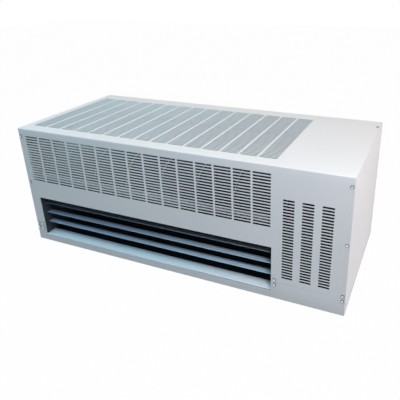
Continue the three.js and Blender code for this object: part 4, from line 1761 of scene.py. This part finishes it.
LAMPS = (
    Softbox(
        "near_softbox", (0.75, -0.75, 0.95), (0.42, -0.23, 0.38), (0.3, 0.3), 4.0,
        (0.95, 0.92, 1.0),
    ),
    Softbox(
        "key_softbox", (0.9, -0.8, 1.8), (0.2, 0.0, 0.3), (1.0, 0.8), 3.7, (1.0, 0.886, 0.715)
    ),
    Softbox(
        "right_softbox", (2.0, 0.2, 0.8), (0.3, 0.0, 0.2), (1.2, 1.2), 12.9,
        (1.0, 0.898, 0.905),
    ),
    Softbox(
        "sky_softbox", (-0.7, -0.7, 1.9), (-0.2, 0.0, 0.3), (1.0, 0.8), 17.3,
        (0.526, 0.82, 1.0),
    ),
    Softbox(
        "top_softbox", (0.2, 0.3, 2.3), (0.1, 0.0, 0.3), (2.0, 1.6), 13.2, (1.0, 0.669, 0.444)
    ),
)


@dataclass
class Viewpoint:
    """The photograph's camera: where it stands and how its picture is framed."""

    place: tuple[float, float, float] = (0.6756, -1.2313, 0.8472)
    azimuth: float = 23.756
    elevation: float = 22.948
    roll: float = -1.005
    focal_pixels: float = 457.19
    centre: Point = (238.89, 168.30)
    picture: int = 400
    sensor: float = 36.0
    clip: Span = (0.05, 50.0)

    def build(self) -> None:
        """Makes the camera and sets it as the scene's."""
        angles = (self.azimuth, self.elevation, self.roll)
        turn, rise, roll = (math.radians(angle) for angle in angles)
        level = math.cos(rise)
        back = Vector((math.sin(turn) * level, -math.cos(turn) * level, math.sin(rise)))
        right = (-back).cross(Vector((0.0, 0.0, 1.0))).normalized()
        up = right.cross(-back)
        rolled_right = right * math.cos(roll) + up * math.sin(roll)
        rolled_up = up * math.cos(roll) - right * math.sin(roll)
        lens = bpy.data.cameras.new("viewpoint")
        lens.sensor_width = self.sensor
        lens.lens = self.focal_pixels / self.picture * self.sensor
        middle = self.picture / 2
        lens.shift_x = (middle - self.centre[0]) / self.picture
        lens.shift_y = (self.centre[1] - middle) / self.picture
        lens.clip_start, lens.clip_end = self.clip
        camera = link_object("viewpoint", lens)
        axes = Matrix((rolled_right, rolled_up, back)).transposed().to_4x4()
        camera.matrix_world = Matrix.Translation(self.place) @ axes
        bpy.context.scene.camera = camera


# One where a camera, glossy or transmission ray looks at the surface.
SEEN_NODES: NodeRecipe = {
    "path": ("LightPath", {}),
    "either": ("Math", {"operation": "MAXIMUM"}),
    "seen": ("Math", {"operation": "MAXIMUM"}),
    "mix": ("MixShader", {}),
}
SEEN_PLAN = """
    path.Is Camera Ray > either.0
    path.Is Glossy Ray > either.1
    either.Value > seen.0
    path.Is Transmission Ray > seen.1
    mix.Shader > out.Surface
"""


@dataclass
class Studio:
    """Pale floor, pale surround, soft lamps and the camera."""

    floor_size: float = 14.0
    floor_gap: float = 0.0005
    floor_tone: float = 0.62
    floor_glow: float = 0.985
    ambient: Colour = (0.62, 0.85, 1.0)
    ambient_level: float = 0.13

    def surround(self) -> None:
        """White to the camera, a level soft light to everything else."""
        world = bpy.data.worlds.new("surround")
        world.use_nodes = True
        tree = world.node_tree
        tree.nodes.clear()
        light = {"Color": (*self.ambient, 1.0), "Strength": self.ambient_level}
        nodes = add_nodes(tree, SEEN_NODES | {
            "out": ("OutputWorld", {}), "light": ("Background", light),
            "white": ("Background", {"Color": (1.0, 1.0, 1.0, 1.0)}),
        })
        join(tree, nodes, SEEN_PLAN)
        join(tree, nodes, """
            seen.Value > mix.Fac
            light.Background > mix.1
            white.Background > mix.2
        """)
        bpy.context.scene.world = world

    def floor(self) -> None:
        """Pale floor that is white to the camera and still keeps a faint shadow."""
        bm = bmesh.new()
        bmesh.ops.create_grid(bm, x_segments=1, y_segments=1, size=self.floor_size / 2)
        shift(bm, 0.0, 0.0, -self.floor_gap)
        mesh = bpy.data.meshes.new("pale_floor")
        bm.to_mesh(mesh)
        bm.free()
        material = bpy.data.materials.new("pale_floor")
        material.use_nodes = True
        tree = material.node_tree
        tree.nodes.clear()
        nodes = add_nodes(tree, SEEN_NODES | {
            "out": ("OutputMaterial", {}), "glow": ("Emission", {}),
            "share": ("Math", {"operation": "MULTIPLY", 1: self.floor_glow}),
            "matt": ("BsdfDiffuse", {"Color": (*[self.floor_tone] * 3, 1.0)}),
        })
        join(tree, nodes, SEEN_PLAN)
        join(tree, nodes, """
            seen.Value > share.0
            share.Value > mix.Fac
            matt.BSDF > mix.1
            glow.Emission > mix.2
        """)
        mesh.materials.append(material)
        link_object("pale_floor", mesh)

    def build(self) -> None:
        """Sets up the surround, the floor, the lamps and the camera."""
        self.surround()
        self.floor()
        for lamp in LAMPS:
            lamp.build()
        Viewpoint().build()
        bpy.context.scene.view_settings.view_transform = "Standard"


def main() -> None:
    """Builds the air curtain and its studio, in the order a maker would."""
    logging.basicConfig(level=logging.INFO, format="%(name)s: %(message)s")
    finishes = Finishes()
    for assembly in (Housing, Outlet, Fan, Motor, Electrics, Fasteners):
        assembly(finishes).build()
        LOG.info("%s done", assembly.__name__)
    Studio().build()


if __name__ == "__main__":
    main()
